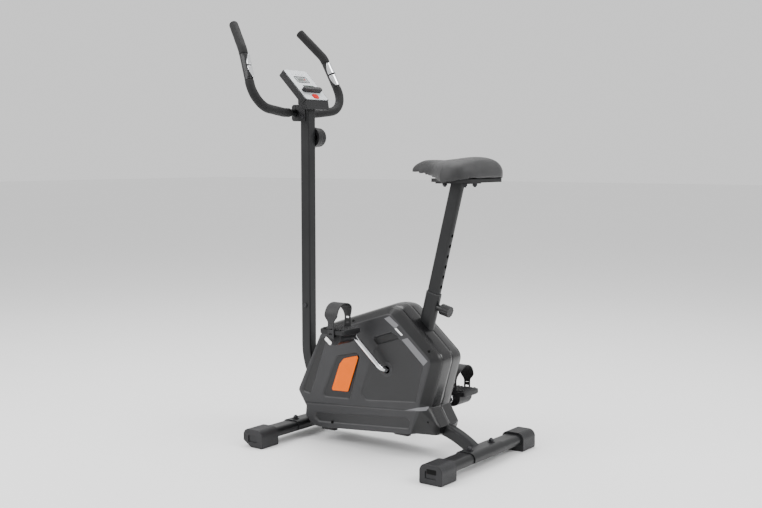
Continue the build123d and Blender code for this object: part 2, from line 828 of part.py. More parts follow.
def cover_decoration(outside, bottom):
    """Shallow recesses in a cover's flat side, and two deeper grooves along its skirt."""
    frame_points = [(-360, 290), (-450, 268), (-508, 138), (-400, 142)]
    crank_points = [(-322, 282), (-362, 168), (-345, 146), (-166, 163), (-140, 276), (-228, 345)]
    front_points = [(-512, 318), (-484, 326), (-552, 138), (-590, 146)]
    pocket_points = [(-322, 334), (-252, 359), (-212, 342), (-302, 314)]
    cuts = along_y(outline_face(frame_points, [10, 10, 10, 10]), 0, 0, bottom, outside)
    cuts += along_y(outline_face(crank_points, [8, 8, 14, 8, 14, 14]), 0, 0, bottom, outside)
    cuts += along_y(outline_face(front_points, [6, 6, 8, 8]), 0, 0, bottom, outside)
    cuts += along_y(outline_face(pocket_points, [6, 6, 6, 6]), 0, 0, bottom, outside)
    grooves = [[(-551, 111), (-556, 105), (-160, 139), (-152, 146)],
               [(-540, 82), (-545, 74), (-165, 110), (-150, 120)]]
    for groove in grooves:
        cuts += along_y(outline_face(groove, 1), 0, 0, bottom, outside)
    return cuts


def accent_inserts():
    """A coloured plate stuck in the forward recess of each cover."""
    points, radii = insert_outline()
    inserts = []
    for side in (-1, 1):
        bottom = side * (cover_half_width - recess_depth)
        top = bottom + side * insert_thickness
        insert = along_y(outline_face(points, radii), 0, 0, bottom, top)
        rim = insert.edges().filter_by_position(Axis.Y, top - 0.1, top + 0.1)
        inserts.append(fillet(rim, 0.8))
    return group(inserts)


def cover_screws():
    screws = []
    for x, z, surface in cover_screw_points():
        seat = surface - cover_screw_depth
        for side in (-1, 1):
            screws.append(disc(x, z, 3.8, side * seat, side * (seat + 3)) + disc(x, z, 2, side * 20, side * seat))
    return group(screws)


# Seat

seat_top_z = seat_base_height + seat_base_thickness


def seat_outline(inset):
    """The seat from above: a narrow nose that flares into two wings."""
    nose = seat_tail_x - seat_length
    points = [(nose, -seat_nose_half_width), (nose + 80, -46), (-66, -116), (-40, -seat_half_width),
              (-6, -seat_half_width), (seat_tail_x, -84),
              (seat_tail_x, 84), (-6, seat_half_width), (-40, seat_half_width), (-66, 116), (nose + 80, 46),
              (nose, seat_nose_half_width)]
    half = [24, 60, 14, 12, 26, 30]
    face = outline_face(points, half + half[::-1])
    return offset(face, -inset) if inset else face


def seat_post():
    """The post with its row of lock holes, and the flat plate welded on its top."""
    plate_top = seat_base_height
    plate_bottom = plate_top - seat_plate_thickness
    length = (plate_top - lock_z) / cos(seat_lean) + 20
    post = seat_bar(0, seat_post_foot, length) - seat_bar(-seat_post_wall, seat_post_foot, length)
    post -= block(lock_x - 200, lock_x + 400, -100, 100, plate_bottom, plate_top + 100)
    for step in range(-holes_below, holes_above + 1):
        up = step * hole_pitch
        post -= rod(seat_point(10, up), seat_point(30, up), lock_pin_radius + body_gap)
    x, z = seat_plate_centre()
    plate = block(x - 55, x + 55, -38, 38, plate_bottom, plate_top)
    plate = fillet(plate.edges().filter_by(Axis.Z), 10)
    for stud_x, y in seat_stud_points():
        plate -= rod((stud_x, y, plate_bottom), (stud_x, y, plate_top), seat_stud_radius + bolt_hole_gap)
    return post + plate


def seat_plate_centre():
    return lock_x + (seat_base_height - lock_z) * tan(seat_lean), seat_base_height


def seat_stud_points():
    x, z = seat_plate_centre()
    return [(x - 44, 0), (x + 38, -26), (x + 38, 26)]


def seat_nuts():
    """Studs moulded in the base pan, each with a nut under the plate."""
    pieces = []
    bottom = seat_base_height - seat_plate_thickness
    for x, y in seat_stud_points():
        stud = rod((x, y, bottom - 10), (x, y, seat_base_height + 6), seat_stud_radius)
        nut = Pos(x, y, bottom - 6.5) * extrude(RegularPolygon(7.5, 6), amount=6.5)
        pieces += [stud, nut - stud]
    return group(pieces)


def seat_base():
    """The base pan, which stops short of the nose."""
    pan = Pos(0, 0, seat_base_height) * extrude(seat_outline(14), amount=seat_base_thickness)
    pan &= block(seat_pan_front, seat_tail_x, -seat_half_width, seat_half_width, seat_base_height, seat_top_z)
    for x, y in seat_stud_points():
        pan -= rod((x, y, seat_base_height), (x, y, seat_base_height + 6), seat_stud_radius)
    return pan


def seat_cushion():
    cushion = Pos(0, 0, seat_top_z) * extrude(seat_outline(0), amount=seat_thickness)
    top = cushion.faces().sort_by(Axis.Z)[-1]
    return fillet(top.edges(), 11)


# Lock pin

def lock_pin():
    """The sprung pin: a tip in the post, and a flange for the spring."""
    tip = seat_post_depth / 2 - 6
    pin = lock_bar(tip, collar_end + 10, lock_pin_radius)
    return pin + lock_bar(sleeve_face + 1 + body_gap, sleeve_face + 2.4, lock_collar_radius - 2.2)


def lock_knob():
    """A fluted knob on the end of the pin."""
    start = collar_end + 1.5
    end = start + lock_knob_length
    knob = lock_bar(start, end, lock_knob_radius)
    flutes = 12
    for step in range(flutes):
        angle = 360 / flutes * step
        offset_y = (lock_knob_radius + 2.2) * sin(radians(angle))
        offset_up = (lock_knob_radius + 2.2) * cos(radians(angle))
        knob -= rod(seat_point(start + 5, offset_up, offset_y), seat_point(end, offset_up, offset_y), 3.4)
    return knob - lock_bar(start, collar_end + 10, lock_pin_radius)


def lock_spring():
    """A coil in the collar, round the pin."""
    start = sleeve_face + 3
    length = collar_end - 1.5 - start
    coil = Helix(pitch=length / 4, height=length - 1.2, radius=6.2)
    wire = sweep(Plane(origin=coil @ 0, z_dir=coil % 0) * Circle(0.5), path=coil, is_frenet=True)
    place = Plane(origin=seat_point(start + 0.6, 0), x_dir=(0, 1, 0), z_dir=tuple(seat_back))
    return place.location * wire


# Pedals

def pedal_weight(side):
    """A steel bar sealed in the lobe under the platform, which keeps the strap uppermost."""
    x, z = pedal_axis(side)
    start = side * (pedal_inner + 4)
    return block(x - 16, x + 16, start, start + side * pedal_weight_length, z - 20, z - 8)


def pedal(side):
    """A treaded platform, hollow below, over a half-round lobe bored for the spindle."""
    x, z = pedal_axis(side)
    inner = side * pedal_inner
    outer = side * (pedal_inner + pedal_width)
    half = pedal_length / 2
    low = z + pedal_top - pedal_depth
    skin = z + pedal_top - pedal_skin
    platform = block(x - half, x + half, inner, outer, low, z + pedal_top)
    platform = fillet(platform.edges().filter_by(Axis.Y), 4)
    hollow = half - pedal_rim
    platform -= block(x - hollow, x + hollow, inner + side * pedal_rim, outer - side * pedal_rim, low, skin)
    lobe = disc(x, z, pedal_lobe_radius, inner, inner + side * pedal_lobe_width)
    lobe &= block(x - half, x + half, inner, outer, z - pedal_lobe_radius, skin + 1)
    body = platform + lobe
    for row in range(5):
        for column in range(6):
            nub_x = x + (row - 2) * 15
            nub_y = side * (pedal_inner + 13 + column * 10.8)
            nub = Cone(3.4, 2.2, 2, align=(Align.CENTER, Align.CENTER, Align.MIN))
            body += Pos(nub_x, nub_y, z + pedal_top) * nub
    body -= strap(side)
    body -= pedal_weight(side)
    return body - disc(x, z, spindle_radius + running_gap, inner, side * (pedal_inner + pedal_width - 5))


def strap(side):
    """A strap standing over the foot, from one side of the pedal to the other."""
    x, z = pedal_axis(side)
    low = z + pedal_top - pedal_depth
    near = side * (pedal_inner + 5)
    far = side * (pedal_inner + pedal_width - 5)
    points = [(x, near, low), (x, near, z + strap_height), (x, far, z + strap_height), (x, far, low)]
    path = FilletPolyline(*points, radius=[33, 33])
    section = Plane(origin=path @ 0, x_dir=(1, 0, 0), z_dir=path % 0) * Rectangle(strap_width, strap_thickness)
    return sweep(section, path=path)


# Handlebar

def bar_points(side):
    """Corners of one half of the bar, from the clamp to the tip."""
    return [(bar_x, side * 70, bar_z), (bar_x + 15, side * 214, 1000), (-710, side * 187, 1165),
            (-781, side * 151, 1247)]


def bar_path():
    left = bar_points(-1)
    right = bar_points(1)
    points = left[::-1] + right
    return FilletPolyline(*points, radius=[60, 72, 60, 60, 72, 60])


def handlebar():
    path = bar_path()
    start = Plane(origin=path @ 0, z_dir=path % 0)
    return sweep(start * Circle(bar_radius), path=path) - sweep(start * Circle(bar_radius - bar_wall), path=path)


sensor_low = 0.445       # where the pulse sensor sits, as shares of the straight below the upper bend
sensor_high = 0.895


def upright_point(side, share):
    """A point on the straight between the big bend and the upper bend."""
    low = Vector(*bar_points(side)[1])
    high = Vector(*bar_points(side)[2])
    return low + (high - low) * share


def bar_slice(side, share0, share1):
    """A slab across the straight that holds the sensor, used to cut sleeves on the bar."""
    start = upright_point(side, share0)
    end = upright_point(side, share1)
    run = end - start
    plane = Plane(origin=start, z_dir=run)
    return extrude(plane * Rectangle(90, 90), amount=run.length)


def foam_grips():
    """Foam sleeves over the bar, left out at the clamp and at the pulse sensors."""
    path = bar_path()
    start = Plane(origin=path @ 0, z_dir=path % 0)
    foam = sweep(start * Circle(grip_radius), path=path) - sweep(start * Circle(bar_radius), path=path)
    foam -= block(bar_x - 60, bar_x + 60, -foam_start, foam_start, bar_z - 60, bar_z + 60)
    for side in (-1, 1):
        foam -= bar_slice(side, sensor_low - 0.005, sensor_high + 0.005)
        tip = Vector(*bar_points(side)[3])
        way = (tip - Vector(*bar_points(side)[2])).normalized()
        foam += rod(tip, tip + way * 3, grip_radius)
    return group([foam])


def sensor_holders():
    """A plastic sleeve round the bar, fuller on the side towards the rider."""
    holders = []
    for side in (-1, 1):
        start = upright_point(side, sensor_low)
        end = upright_point(side, sensor_high)
        holder = rod(start, end, grip_radius)
        back = Vector(3.5, 0, 1.5)
        holder += rod(start + (end - start) * 0.08 + back, end - (end - start) * 0.08 + back, grip_radius - 1)
        holders.append(holder - rod(start, end, bar_radius))
    return group(holders)


def sensor_plates():
    """Two bright contact plates on each holder, with a band between them."""
    plates = []
    for side in (-1, 1):
        start = upright_point(side, sensor_low)
        end = upright_point(side, sensor_high)
        run = end - start
        back = Vector(3.5, 0, 1.5)
        for low, high in ((0.12, 0.46), (0.54, 0.88)):
            first = start + run * low + back
            last = start + run * high + back
            plate = rod(first, last, grip_radius - 0.2) - rod(first, last, grip_radius - 1)
            plate &= rod(first + back * 3.4, last + back * 3.4, grip_radius)
            plates.append(plate)
    return group(plates)


clamp_half_height = clamp_bolt_offset + clamp_wall


def clamp_block(x0, x1, half_width=clamp_half_width):
    return block(x0, x1, -half_width, half_width, bar_z - clamp_half_height, bar_z + clamp_half_height)


def clamp_bolt_points():
    return [(side_y * 8, bar_z + side_z * clamp_bolt_offset) for side_y in (-1, 1) for side_z in (-1, 1)]


clamp_front = bar_x - bar_radius - 5
post_front = post_x - post_depth / 2


def clamp_base():
    """The rear half of the clamp, with two wings along the sides of the post."""
    base = clamp_block(bar_x + 0.5, post_front)
    base -= disc(bar_x, bar_z, bar_radius + running_gap, -40, 40)
    wing_reach = post_width / 2 + clamp_wing_wall
    base += block(post_front - clamp_wing_wall, post_front, -wing_reach, wing_reach, bar_z - 25, bar_z + 25)
    for side in (-1, 1):
        inner = side * post_width / 2
        outer = side * (post_width / 2 + clamp_wing_wall)
        wing = block(post_front - 2, post_front + 22, inner, outer, bar_z - 25, bar_z + 25)
        base += wing
        base -= disc(post_front + 12, bar_z - 12, 3, 0, side * 40)
    for y, z in clamp_bolt_points():
        base -= rod((bar_x, y, z), (post_front, y, z), 3)
    return base


def clamp_cap():
    """The front half of the clamp."""
    cap = clamp_block(clamp_front, bar_x - 0.5)
    cap = fillet(cap.edges().filter_by(Axis.Y).group_by(Axis.X)[0], 9)
    cap -= disc(bar_x, bar_z, bar_radius + running_gap, -40, 40)
    for y, z in clamp_bolt_points():
        cap -= rod((clamp_front - 1, y, z), (bar_x, y, z), 3)
        cap -= rod((clamp_front - 1, y, z), (clamp_front + 3, y, z), 5.4)
    return cap


def frame_bolts():
    """Domed bolts at the post's joint, the clamp's bolts, and the screws that hold it to the post."""
    bolts = [dome_bolt(foot, way, 8, foot_bolt_radius) for foot, way in post_bolt_points()]
    for y, z in clamp_bolt_points():
        bolt = rod((clamp_front + 3, y, z), (post_front, y, z), 3)
        bolts.append(bolt + rod((clamp_front, y, z), (clamp_front + 3, y, z), 5))
    for side in (-1, 1):
        outer = side * (post_width / 2 + clamp_wing_wall)
        bolts.append(dome_bolt((post_front + 12, outer, bar_z - 12), (0, -side, 0), clamp_wing_wall, 3))
    return group(bolts)


# Console

face_lean = radians(face_slope)
face_down = Vector(cos(face_lean), 0, -sin(face_lean))
face_out = Vector(sin(face_lean), 0, cos(face_lean))


def face_point(down, out=0, y=0):
    """A point measured from the top edge of the console's face."""
    point = Vector(face_top_x, y, face_top_z) + face_down * down + face_out * out
    return (point.X, point.Y, point.Z)


def face_plane(down, y=0, out=0):
    """A plane on the face: its x runs down the face and its y to the rider's right."""
    return Plane(origin=face_point(down, out, y), x_dir=tuple(face_down), z_dir=tuple(face_out))


def console_slab(length_inset, half_width, out0, out1, corner):
    """A slab parallel to the face, with rounded corners."""
    middle = face_plane(face_length / 2, out=out0)
    section = RectangleRounded(face_length - 2 * length_inset, 2 * half_width, corner)
    return extrude(middle * section, amount=out1 - out0)


def console_chin(inset):
    """The lower part of the case, which comes down over the top of the post."""
    low_x, _, low_z = face_point(face_length - 1, -faceplate_thickness - 1)
    points = [(low_x - inset, low_z), (low_x + 5 - inset, chin_bottom + inset), (chin_front + inset, chin_bottom + inset),
              (chin_front + inset, 1034 - inset), (low_x - 14, low_z - 4)]
    return along_y(Polygon(*points, align=None), 0, 0, -(chin_half_width - inset), chin_half_width - inset)


def console_neck():
    """A solid foot under the case, which rests on the end of the post and stays above the clamp."""
    bottom = bar_z + clamp_half_height + 1
    points = [(chin_front - 30, bottom), (chin_front - 30, 1060), (chin_front + 4, 1034), (chin_front + 4, bottom)]
    return along_y(Polygon(*points, align=None), 0, 0, -neck_half_width, neck_half_width)


def console_case():
    inner_depth = console_thickness - console_wall
    case = console_chin(0) - console_chin(console_wall) + post_socket(console_wall) + console_neck()
    case += console_slab(0, console_half_width, -console_thickness, -faceplate_thickness, 8)
    case -= console_slab(console_wall, console_half_width - console_wall, -inner_depth, -faceplate_thickness, 6)
    case -= post_socket(0)
    return case - clamp_block(clamp_front - 10, post_front + 30, 20)


def post_socket(wall):
    """The space that the top of the post fills inside the chin, larger by wall."""
    half_depth = post_depth / 2 + sliding_gap + wall
    half_width = post_width / 2 + sliding_gap + wall
    return block(post_x - half_depth, post_x + half_depth, -half_width, half_width, chin_bottom, post_top + wall)


def console_faceplate():
    plate = console_slab(1, face_half_width, -faceplate_thickness, 0, 8)
    for down, y, length, width, corner in ((display_down, display_y, display_length, display_width, 2),
                                           (button_down, 0, 2 * button_radius + 1, 3 * button_radius + 1, 9)):
        cut = RectangleRounded(length, width, corner)
        plate -= extrude(face_plane(down, y, -faceplate_thickness) * cut, amount=faceplate_thickness)
    return plate


display_down = 42
display_y = -2
display_length = 20
display_width = 44
button_down = 116


def display_lens():
    section = RectangleRounded(display_length, display_width, 2)
    return extrude(face_plane(display_down, display_y, -faceplate_thickness) * section, amount=1.2)


def circuit_board():
    board = extrude(face_plane(62, 0, -10) * Rectangle(92, 88), amount=1.6)
    chip = extrude(face_plane(84, 14, -8.4) * Rectangle(14, 18), amount=1.5)
    panel = extrude(face_plane(display_down, display_y, -8.4) * Rectangle(24, 50), amount=5)
    return board + chip + panel


def batteries():
    """Two round cells side by side behind the board."""
    cells = []
    for down in (66, 78):
        start = face_point(down, -15, -22)
        end = face_point(down, -15, 22)
        cells.append(rod(start, end, 4.6))
    return group(cells)


def device_ledge():
    """A lip across the face that a telephone rests on."""
    lip = extrude(face_plane(92, 0, 0) * RectangleRounded(15, 82, 6), amount=13)
    return fillet(lip.faces().sort_by(Axis(face_point(0), tuple(face_out)))[-1].edges(), 3)


def console_button():
    """An oval key that stands a little proud and travels into the face."""
    section = SlotOverall(3 * button_radius, 2 * button_radius)
    plane = Plane(origin=face_point(button_down, -faceplate_thickness - 3), x_dir=(0, 1, 0), z_dir=tuple(face_out))
    key = extrude(plane * section, amount=faceplate_thickness + 5.5)
    return fillet(key.faces().sort_by(Axis(face_point(0), tuple(face_out)))[-1].edges(), 1.2)


# Tension dial

def tension_housing():
    """A round boss on the right of the post, which the cable leaves through the post's wall."""
    near = post_width / 2
    far = near + dial_housing_depth
    boss = disc(post_x, dial_z, dial_housing_radius, near, far)
    boss = chamfer(boss.edges().filter_by_position(Axis.Y, far - 0.1, far + 0.1), 6, 2)
    boss -= disc(post_x, dial_z, dial_housing_radius - 8, near, far - 4)
    boss -= disc(post_x, dial_z, 6 + running_gap, far - 4, far)
    return boss


def tension_dial():
    """A fluted dial with a finger dimple, on a spindle that enters the housing."""
    near = post_width / 2 + dial_housing_depth + dial_gap
    far = near + dial_depth
    dial = disc(post_x, dial_z, dial_radius, near, far)
    dial = fillet(dial.edges().filter_by_position(Axis.Y, far - 0.1, far + 0.1), 4)
    for step in range(18):
        angle = radians(20 * step)
        flute_x = post_x + (dial_radius + 1.6) * cos(angle)
        flute_z = dial_z + (dial_radius + 1.6) * sin(angle)
        dial -= disc(flute_x, flute_z, 3, near + 2, far)
    dial -= Pos(post_x, far + 5, dial_z + 16) * Sphere(8.5)
    return dial + disc(post_x, dial_z, 6, near - dial_gap - 6, near)


def build_parts():
    """Every sub-part by name, in the drawing frame."""
    return {
        "foot_bars": foot_bars(),
        "foot_saddles": foot_saddles(),
        "foot_bolts": foot_bolts(),
        "front_end_caps": front_end_caps(),
        "rear_end_caps": rear_end_caps(),
        "wheel_axles": wheel_axles(),
        "left_transport_wheel": transport_wheel(-1),
        "right_transport_wheel": transport_wheel(1),
        "spine_tube": spine_tube(),
        "lower_post": lower_post(),
        "front_post": front_post(),
        "seat_sleeve": seat_sleeve(),
        "sleeve_liner": sleeve_liner(),
        "bottom_bracket": bottom_bracket(),
        "bearing_cups": bearing_cups(),
        "flywheel_bracket": flywheel_bracket(),
        "flywheel_axle": flywheel_axle(),
        "flywheel": flywheel(),
        "flywheel_bearings": flywheel_bearings(),
        "magnet_bracket": magnet_bracket(),
        "magnets": magnets(),
        "magnet_pivot": magnet_pivot(),
        "tension_cable": tension_cable(),
        "crank": crank(),
        "drive_pulley": drive_pulley(),
        "drive_belt": drive_belt(),
        "pedal_spindles": pedal_spindles(),
        "left_pedal": pedal(-1),
        "right_pedal": pedal(1),
        "left_pedal_weight": pedal_weight(-1),
        "right_pedal_weight": pedal_weight(1),
        "left_strap": strap(-1),
        "right_strap": strap(1),
        "left_cover": cover(-1),
        "right_cover": cover(1),
        "accent_inserts": accent_inserts(),
        "cover_screws": cover_screws(),
        "seat_post": seat_post(),
        "seat_base": seat_base(),
        "seat_nuts": seat_nuts(),
        "seat_cushion": seat_cushion(),
        "lock_pin": lock_pin(),
        "lock_knob": lock_knob(),
        "lock_spring": lock_spring(),
        "handlebar": handlebar(),
        "foam_grips": foam_grips(),
        "sensor_holders": sensor_holders(),
        "sensor_plates": sensor_plates(),
        "clamp_base": clamp_base(),
        "clamp_cap": clamp_cap(),
        "frame_bolts": frame_bolts(),
        "console_case": console_case(),
        "console_faceplate": console_faceplate(),
        "display_lens": display_lens(),
        "circuit_board": circuit_board(),
        "batteries": batteries(),
        "device_ledge": device_ledge(),
        "console_button": console_button(),
        "tension_housing": tension_housing(),
        "tension_dial": tension_dial(),
    }


def machine_middle(parts):
    """Half way between the foremost and the rearmost point of the machine."""
    boxes = [part.bounding_box() for part in parts.values()]
    return (min(box.min.X for box in boxes) + max(box.max.X for box in boxes)) / 2


def write_parts():
    os.makedirs("parts", exist_ok=True)
    parts = build_parts()
    middle = machine_middle(parts)
    for name, part in parts.items():
        export_step(Pos(-middle, 0, 0) * part, f"parts/{name}.step")
    print("middle of the machine in the drawing frame:", round(middle, 3))


write_parts()
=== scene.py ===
# %% [markdown]
# # An exercise bike, dressed for the studio
# The CAD model already has every tube, bolt and pulley in its place, in metres, with the origin on the
# floor under the middle of the bike, +X to the rear and +Z up.
# Blender adds what CAD draws poorly: moulded covers, foam, vinyl, straps, and the finish of each surface.
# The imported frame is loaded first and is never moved, so a new piece goes where the frame says.

# %% Load the frame
import json
import math

import bpy
import numpy as np
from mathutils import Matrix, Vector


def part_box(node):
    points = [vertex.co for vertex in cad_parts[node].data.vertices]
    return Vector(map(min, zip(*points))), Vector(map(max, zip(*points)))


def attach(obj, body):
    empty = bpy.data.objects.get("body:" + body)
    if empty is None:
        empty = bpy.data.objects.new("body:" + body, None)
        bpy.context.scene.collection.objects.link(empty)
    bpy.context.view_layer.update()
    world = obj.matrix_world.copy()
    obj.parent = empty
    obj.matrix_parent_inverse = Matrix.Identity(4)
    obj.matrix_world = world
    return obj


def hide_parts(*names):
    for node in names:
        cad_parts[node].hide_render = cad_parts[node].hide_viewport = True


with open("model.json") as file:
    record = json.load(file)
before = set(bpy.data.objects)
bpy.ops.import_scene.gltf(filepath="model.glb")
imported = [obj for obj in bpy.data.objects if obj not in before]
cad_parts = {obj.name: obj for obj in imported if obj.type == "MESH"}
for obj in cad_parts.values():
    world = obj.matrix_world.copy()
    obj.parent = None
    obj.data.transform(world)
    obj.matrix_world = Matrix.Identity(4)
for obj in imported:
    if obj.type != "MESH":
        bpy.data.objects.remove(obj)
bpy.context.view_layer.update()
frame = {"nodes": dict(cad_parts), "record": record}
record = frame["record"]
MM = 0.001

# %% [markdown]
# ## Where things are
# The drawing of the bike counts x from the rear foot bar. The rear end caps are centred on that bar, so
# the middle of their box turns a drawing's x into the frame's x. Every size below is in millimetres in
# the drawing and becomes metres in one place, here.

# %% From the drawing to the frame
cap_low, cap_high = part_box("rear_end_caps")
rear_bar_x = (cap_low[0] + cap_high[0]) / 2
sides = ((-1, "left"), (1, "right"))


def place(points):
    """Drawing millimetres to frame metres: scale by a thousandth, then add the rear bar's x."""
    placed = np.asarray(points, dtype=float) * MM
    placed[..., 0] += rear_bar_x
    return placed


print("rear bar at x =", round(rear_bar_x, 4))

# %% [markdown]
# ## Shader maths as plain expressions
# A procedural finish is arithmetic on the position of a point. Joining Math nodes by hand hides that
# arithmetic, so a small class wraps a socket and lets Python's own signs add the nodes.

# %% Wires and finishes


class Wire:
    """One number that changes over a surface, carried by a socket."""

    def __init__(self, finish, socket):
        self.finish = finish
        self.socket = socket

    def maths(self, operation, *values):
        keyed = dict(enumerate(values))
        return self.finish.node("Math", {"operation": operation}, keyed).out(0)

    def __add__(self, other):
        return self.maths("ADD", self, other)

    def __radd__(self, other):
        return self.maths("ADD", other, self)

    def __sub__(self, other):
        return self.maths("SUBTRACT", self, other)

    def __rsub__(self, other):
        return self.maths("SUBTRACT", other, self)

    def __mul__(self, other):
        return self.maths("MULTIPLY", self, other)

    def __rmul__(self, other):
        return self.maths("MULTIPLY", other, self)

    def size(self):
        return self.maths("ABSOLUTE", self)

    def wave(self):
        return self.maths("SINE", self)

    def root(self):
        return self.maths("SQRT", self)

    def most(self, other):
        return self.maths("MAXIMUM", self, other)

    def least(self, other):
        return self.maths("MINIMUM", self, other)

    def rise(self, start, end):
        """0 below start, 1 above end, and a smooth rise between."""
        sockets = {"Value": self, "From Min": start, "From Max": end}
        return self.finish.node("MapRange", {"interpolation_type": "SMOOTHSTEP"}, sockets).out(0)


class Made:
    """A node just made, whose outputs are taken by number or name."""

    def __init__(self, finish, node):
        self.finish = finish
        self.made = node

    def out(self, key):
        return Wire(self.finish, self.made.outputs[key])


class Finish:
    """A material with one Principled shader, and one way of adding any other node."""

    def __init__(self, name, colour=(0.8, 0.8, 0.8), roughness=0.5, metallic=0.0, coat=0.0, alpha=1.0,
                 shine=0.5):
        self.material = bpy.data.materials.new(name)
        self.material.use_nodes = True
        self.tree = self.material.node_tree
        self.shader = self.tree.nodes["Principled BSDF"]
        self.set("Base Color", (*colour, 1.0))
        self.set("Roughness", roughness)
        self.set("Metallic", metallic)
        self.set("Coat Weight", coat)
        self.set("Alpha", alpha)
        self.set("Specular IOR Level", shine)

    def set(self, name, value):
        self.fill(self.shader, name, value)

    def fill(self, node, key, value):
        if isinstance(value, Wire):
            self.tree.links.new(value.socket, node.inputs[key])
        else:
            node.inputs[key].default_value = value

    def node(self, kind, settings=None, sockets=None):
        """Add a node: its settings first, then the values or wires of its sockets."""
        made = self.tree.nodes.new("ShaderNode" + kind)
        for name, value in (settings or {}).items():
            setattr(made, name, value)
        for key, value in (sockets or {}).items():
            self.fill(made, key, value)
        return Made(self, made)

    def position(self):
        """The object's own coordinates, which are the frame's, in metres."""
        return self.node("TexCoord").out("Object")

    def axes(self):
        """The position's x, y and z, each as a wire."""
        parts = self.node("SeparateXYZ", {}, {0: self.position()})
        return parts.out(0), parts.out(1), parts.out(2)

    def noise(self, scale, detail=3.0, roughness=0.5, stretch=(1, 1, 1)):
        """Cloudy values between 0 and 1; scale counts blobs to the metre."""
        vector = self.node("Mapping", {}, {0: self.position(), "Scale": stretch}).out(0)
        sockets = {"Vector": vector, "Scale": scale, "Detail": detail, "Roughness": roughness}
        return self.node("TexNoise", {}, sockets).out(0)

    def cells(self, scale, feature="DISTANCE_TO_EDGE"):
        """Distance to the edge of random cells, for grain and leather."""
        sockets = {"Vector": self.position(), "Scale": scale}
        return self.node("TexVoronoi", {"feature": feature}, sockets).out("Distance")

    def blend(self, mask, first, second):
        """first where the mask is 0 and second where it is 1; each is a colour or a wire."""
        sockets = {"Factor": mask, 6: self.full(first), 7: self.full(second)}
        return self.node("Mix", {"data_type": "RGBA"}, sockets).out(2)

    @staticmethod
    def full(colour):
        return colour if isinstance(colour, Wire) else (*colour, 1.0)

    def bump(self, height, distance, strength=1.0):
        """Raise or dent the surface by height times distance, in metres."""
        sockets = {"Height": height, "Distance": distance, "Strength": strength}
        self.set("Normal", self.node("Bump", {}, sockets).out(0))


# %% [markdown]
# ## Black plastic, in three grades
# Most of this bike is black, and it only reads as a real machine if the blacks differ. Moulded plastic
# has a fine leathery grain, powder coat has a soft orange-peel ripple, and the middle of the covers is
# polished. All three are the same idea, a dark colour with a little cloud in it and a bump, at other scales.

# %% Painted and moulded blacks


def shade(colour, factor):
    return tuple(channel * factor for channel in colour)


def powder_coat(name, colour=(0.0075, 0.0078, 0.0085), roughness=0.3):
    """Baked powder: a soft ripple about a millimetre and a half across, with a finer one on top."""
    finish = Finish(name, colour, roughness, shine=0.32)
    cloud = finish.noise(9, 4)
    finish.set("Base Color", finish.blend(cloud.rise(0.3, 0.8), shade(colour, 0.8), shade(colour, 1.35)))
    ripple = finish.noise(650, 2)
    finish.set("Roughness", roughness + 0.12 * finish.noise(30, 5))
    finish.bump(ripple + 0.4 * finish.noise(1700, 2), 0.00006)
    return finish.material


def grained_plastic(name, colour, roughness=0.5, grain=900, depth=0.00005, coat=0.0):
    """Spark-eroded grain: small random cells, shallow, over a faint cloud of colour."""
    finish = Finish(name, colour, roughness, coat=coat, shine=0.3)
    cloud = finish.noise(14, 4)
    finish.set("Base Color", finish.blend(cloud.rise(0.35, 0.75), shade(colour, 0.85), shade(colour, 1.2)))
    finish.set("Roughness", roughness - 0.06 + 0.14 * finish.noise(60, 4))
    finish.bump(finish.cells(grain).rise(0.0, 0.25) + 0.5 * finish.noise(grain * 2, 2), depth)
    return finish.material


def bright_metal(name, colour, roughness, brushing=0.0, stretch=(1, 1, 1)):
    """Plated or ground metal: fine lines drawn out along one direction, and faint handling smears."""
    finish = Finish(name, colour, roughness, metallic=1.0)
    lines = finish.noise(700, 3, stretch=stretch)
    smears = finish.noise(25, 5).rise(0.45, 0.8)
    finish.set("Roughness", roughness + 0.10 * smears + brushing * lines)
    finish.set("Base Color", finish.blend(smears, colour, shade(colour, 0.86)))
    finish.bump(lines, 0.00001 + 0.00004 * brushing)
    return finish.material


# %% [markdown]
# ## Rubber, foam and vinyl
# Closed-cell foam shows pores a few tenths of a millimetre across, and vinyl shows a pebbled grain with
# creases between the pebbles. Both are soft and dull, with a pale sheen where light grazes them.

# %% Soft finishes


def foam_finish(name):
    """Pores are the low places between small cells; a broader noise makes the tube slightly uneven."""
    colour = (0.009, 0.009, 0.0095)
    finish = Finish(name, colour, 0.72, shine=0.25)
    finish.shader.inputs["Sheen Weight"].default_value = 0.05
    finish.shader.inputs["Sheen Roughness"].default_value = 0.5
    pores = finish.cells(1300).rise(0.02, 0.22)
    # The pores are painted darker than the foam round them: painted shade in the low places.
    finish.set("Base Color", finish.blend(pores, shade(colour, 0.45), shade(colour, 1.25)))
    finish.set("Roughness", 0.62 + 0.2 * finish.noise(90, 4))
    finish.bump(pores + 0.3 * finish.noise(160, 3), 0.00002)
    return finish.material


def vinyl_finish(name):
    """Pebbles from cells 1.6 mm across, softened creases between them, and a cloud of wear on the crown."""
    colour = (0.02, 0.02, 0.021)
    finish = Finish(name, colour, 0.5, shine=0.4)
    finish.shader.inputs["Sheen Weight"].default_value = 0.04
    pebbles = finish.cells(620).rise(0.0, 0.3)
    wear = finish.noise(12, 5).rise(0.5, 0.8)
    worn = finish.blend(wear, shade(colour, 0.9), shade(colour, 1.35))
    # The creases between the pebbles are painted darker: painted shade in the creases.
    finish.set("Base Color", finish.blend(pebbles, shade(colour, 0.55), worn))
    finish.set("Roughness", 0.42 + 0.16 * finish.noise(35, 4) - 0.05 * wear)
    finish.bump(pebbles + 0.3 * finish.noise(1500, 2), 0.00016)
    return finish.material


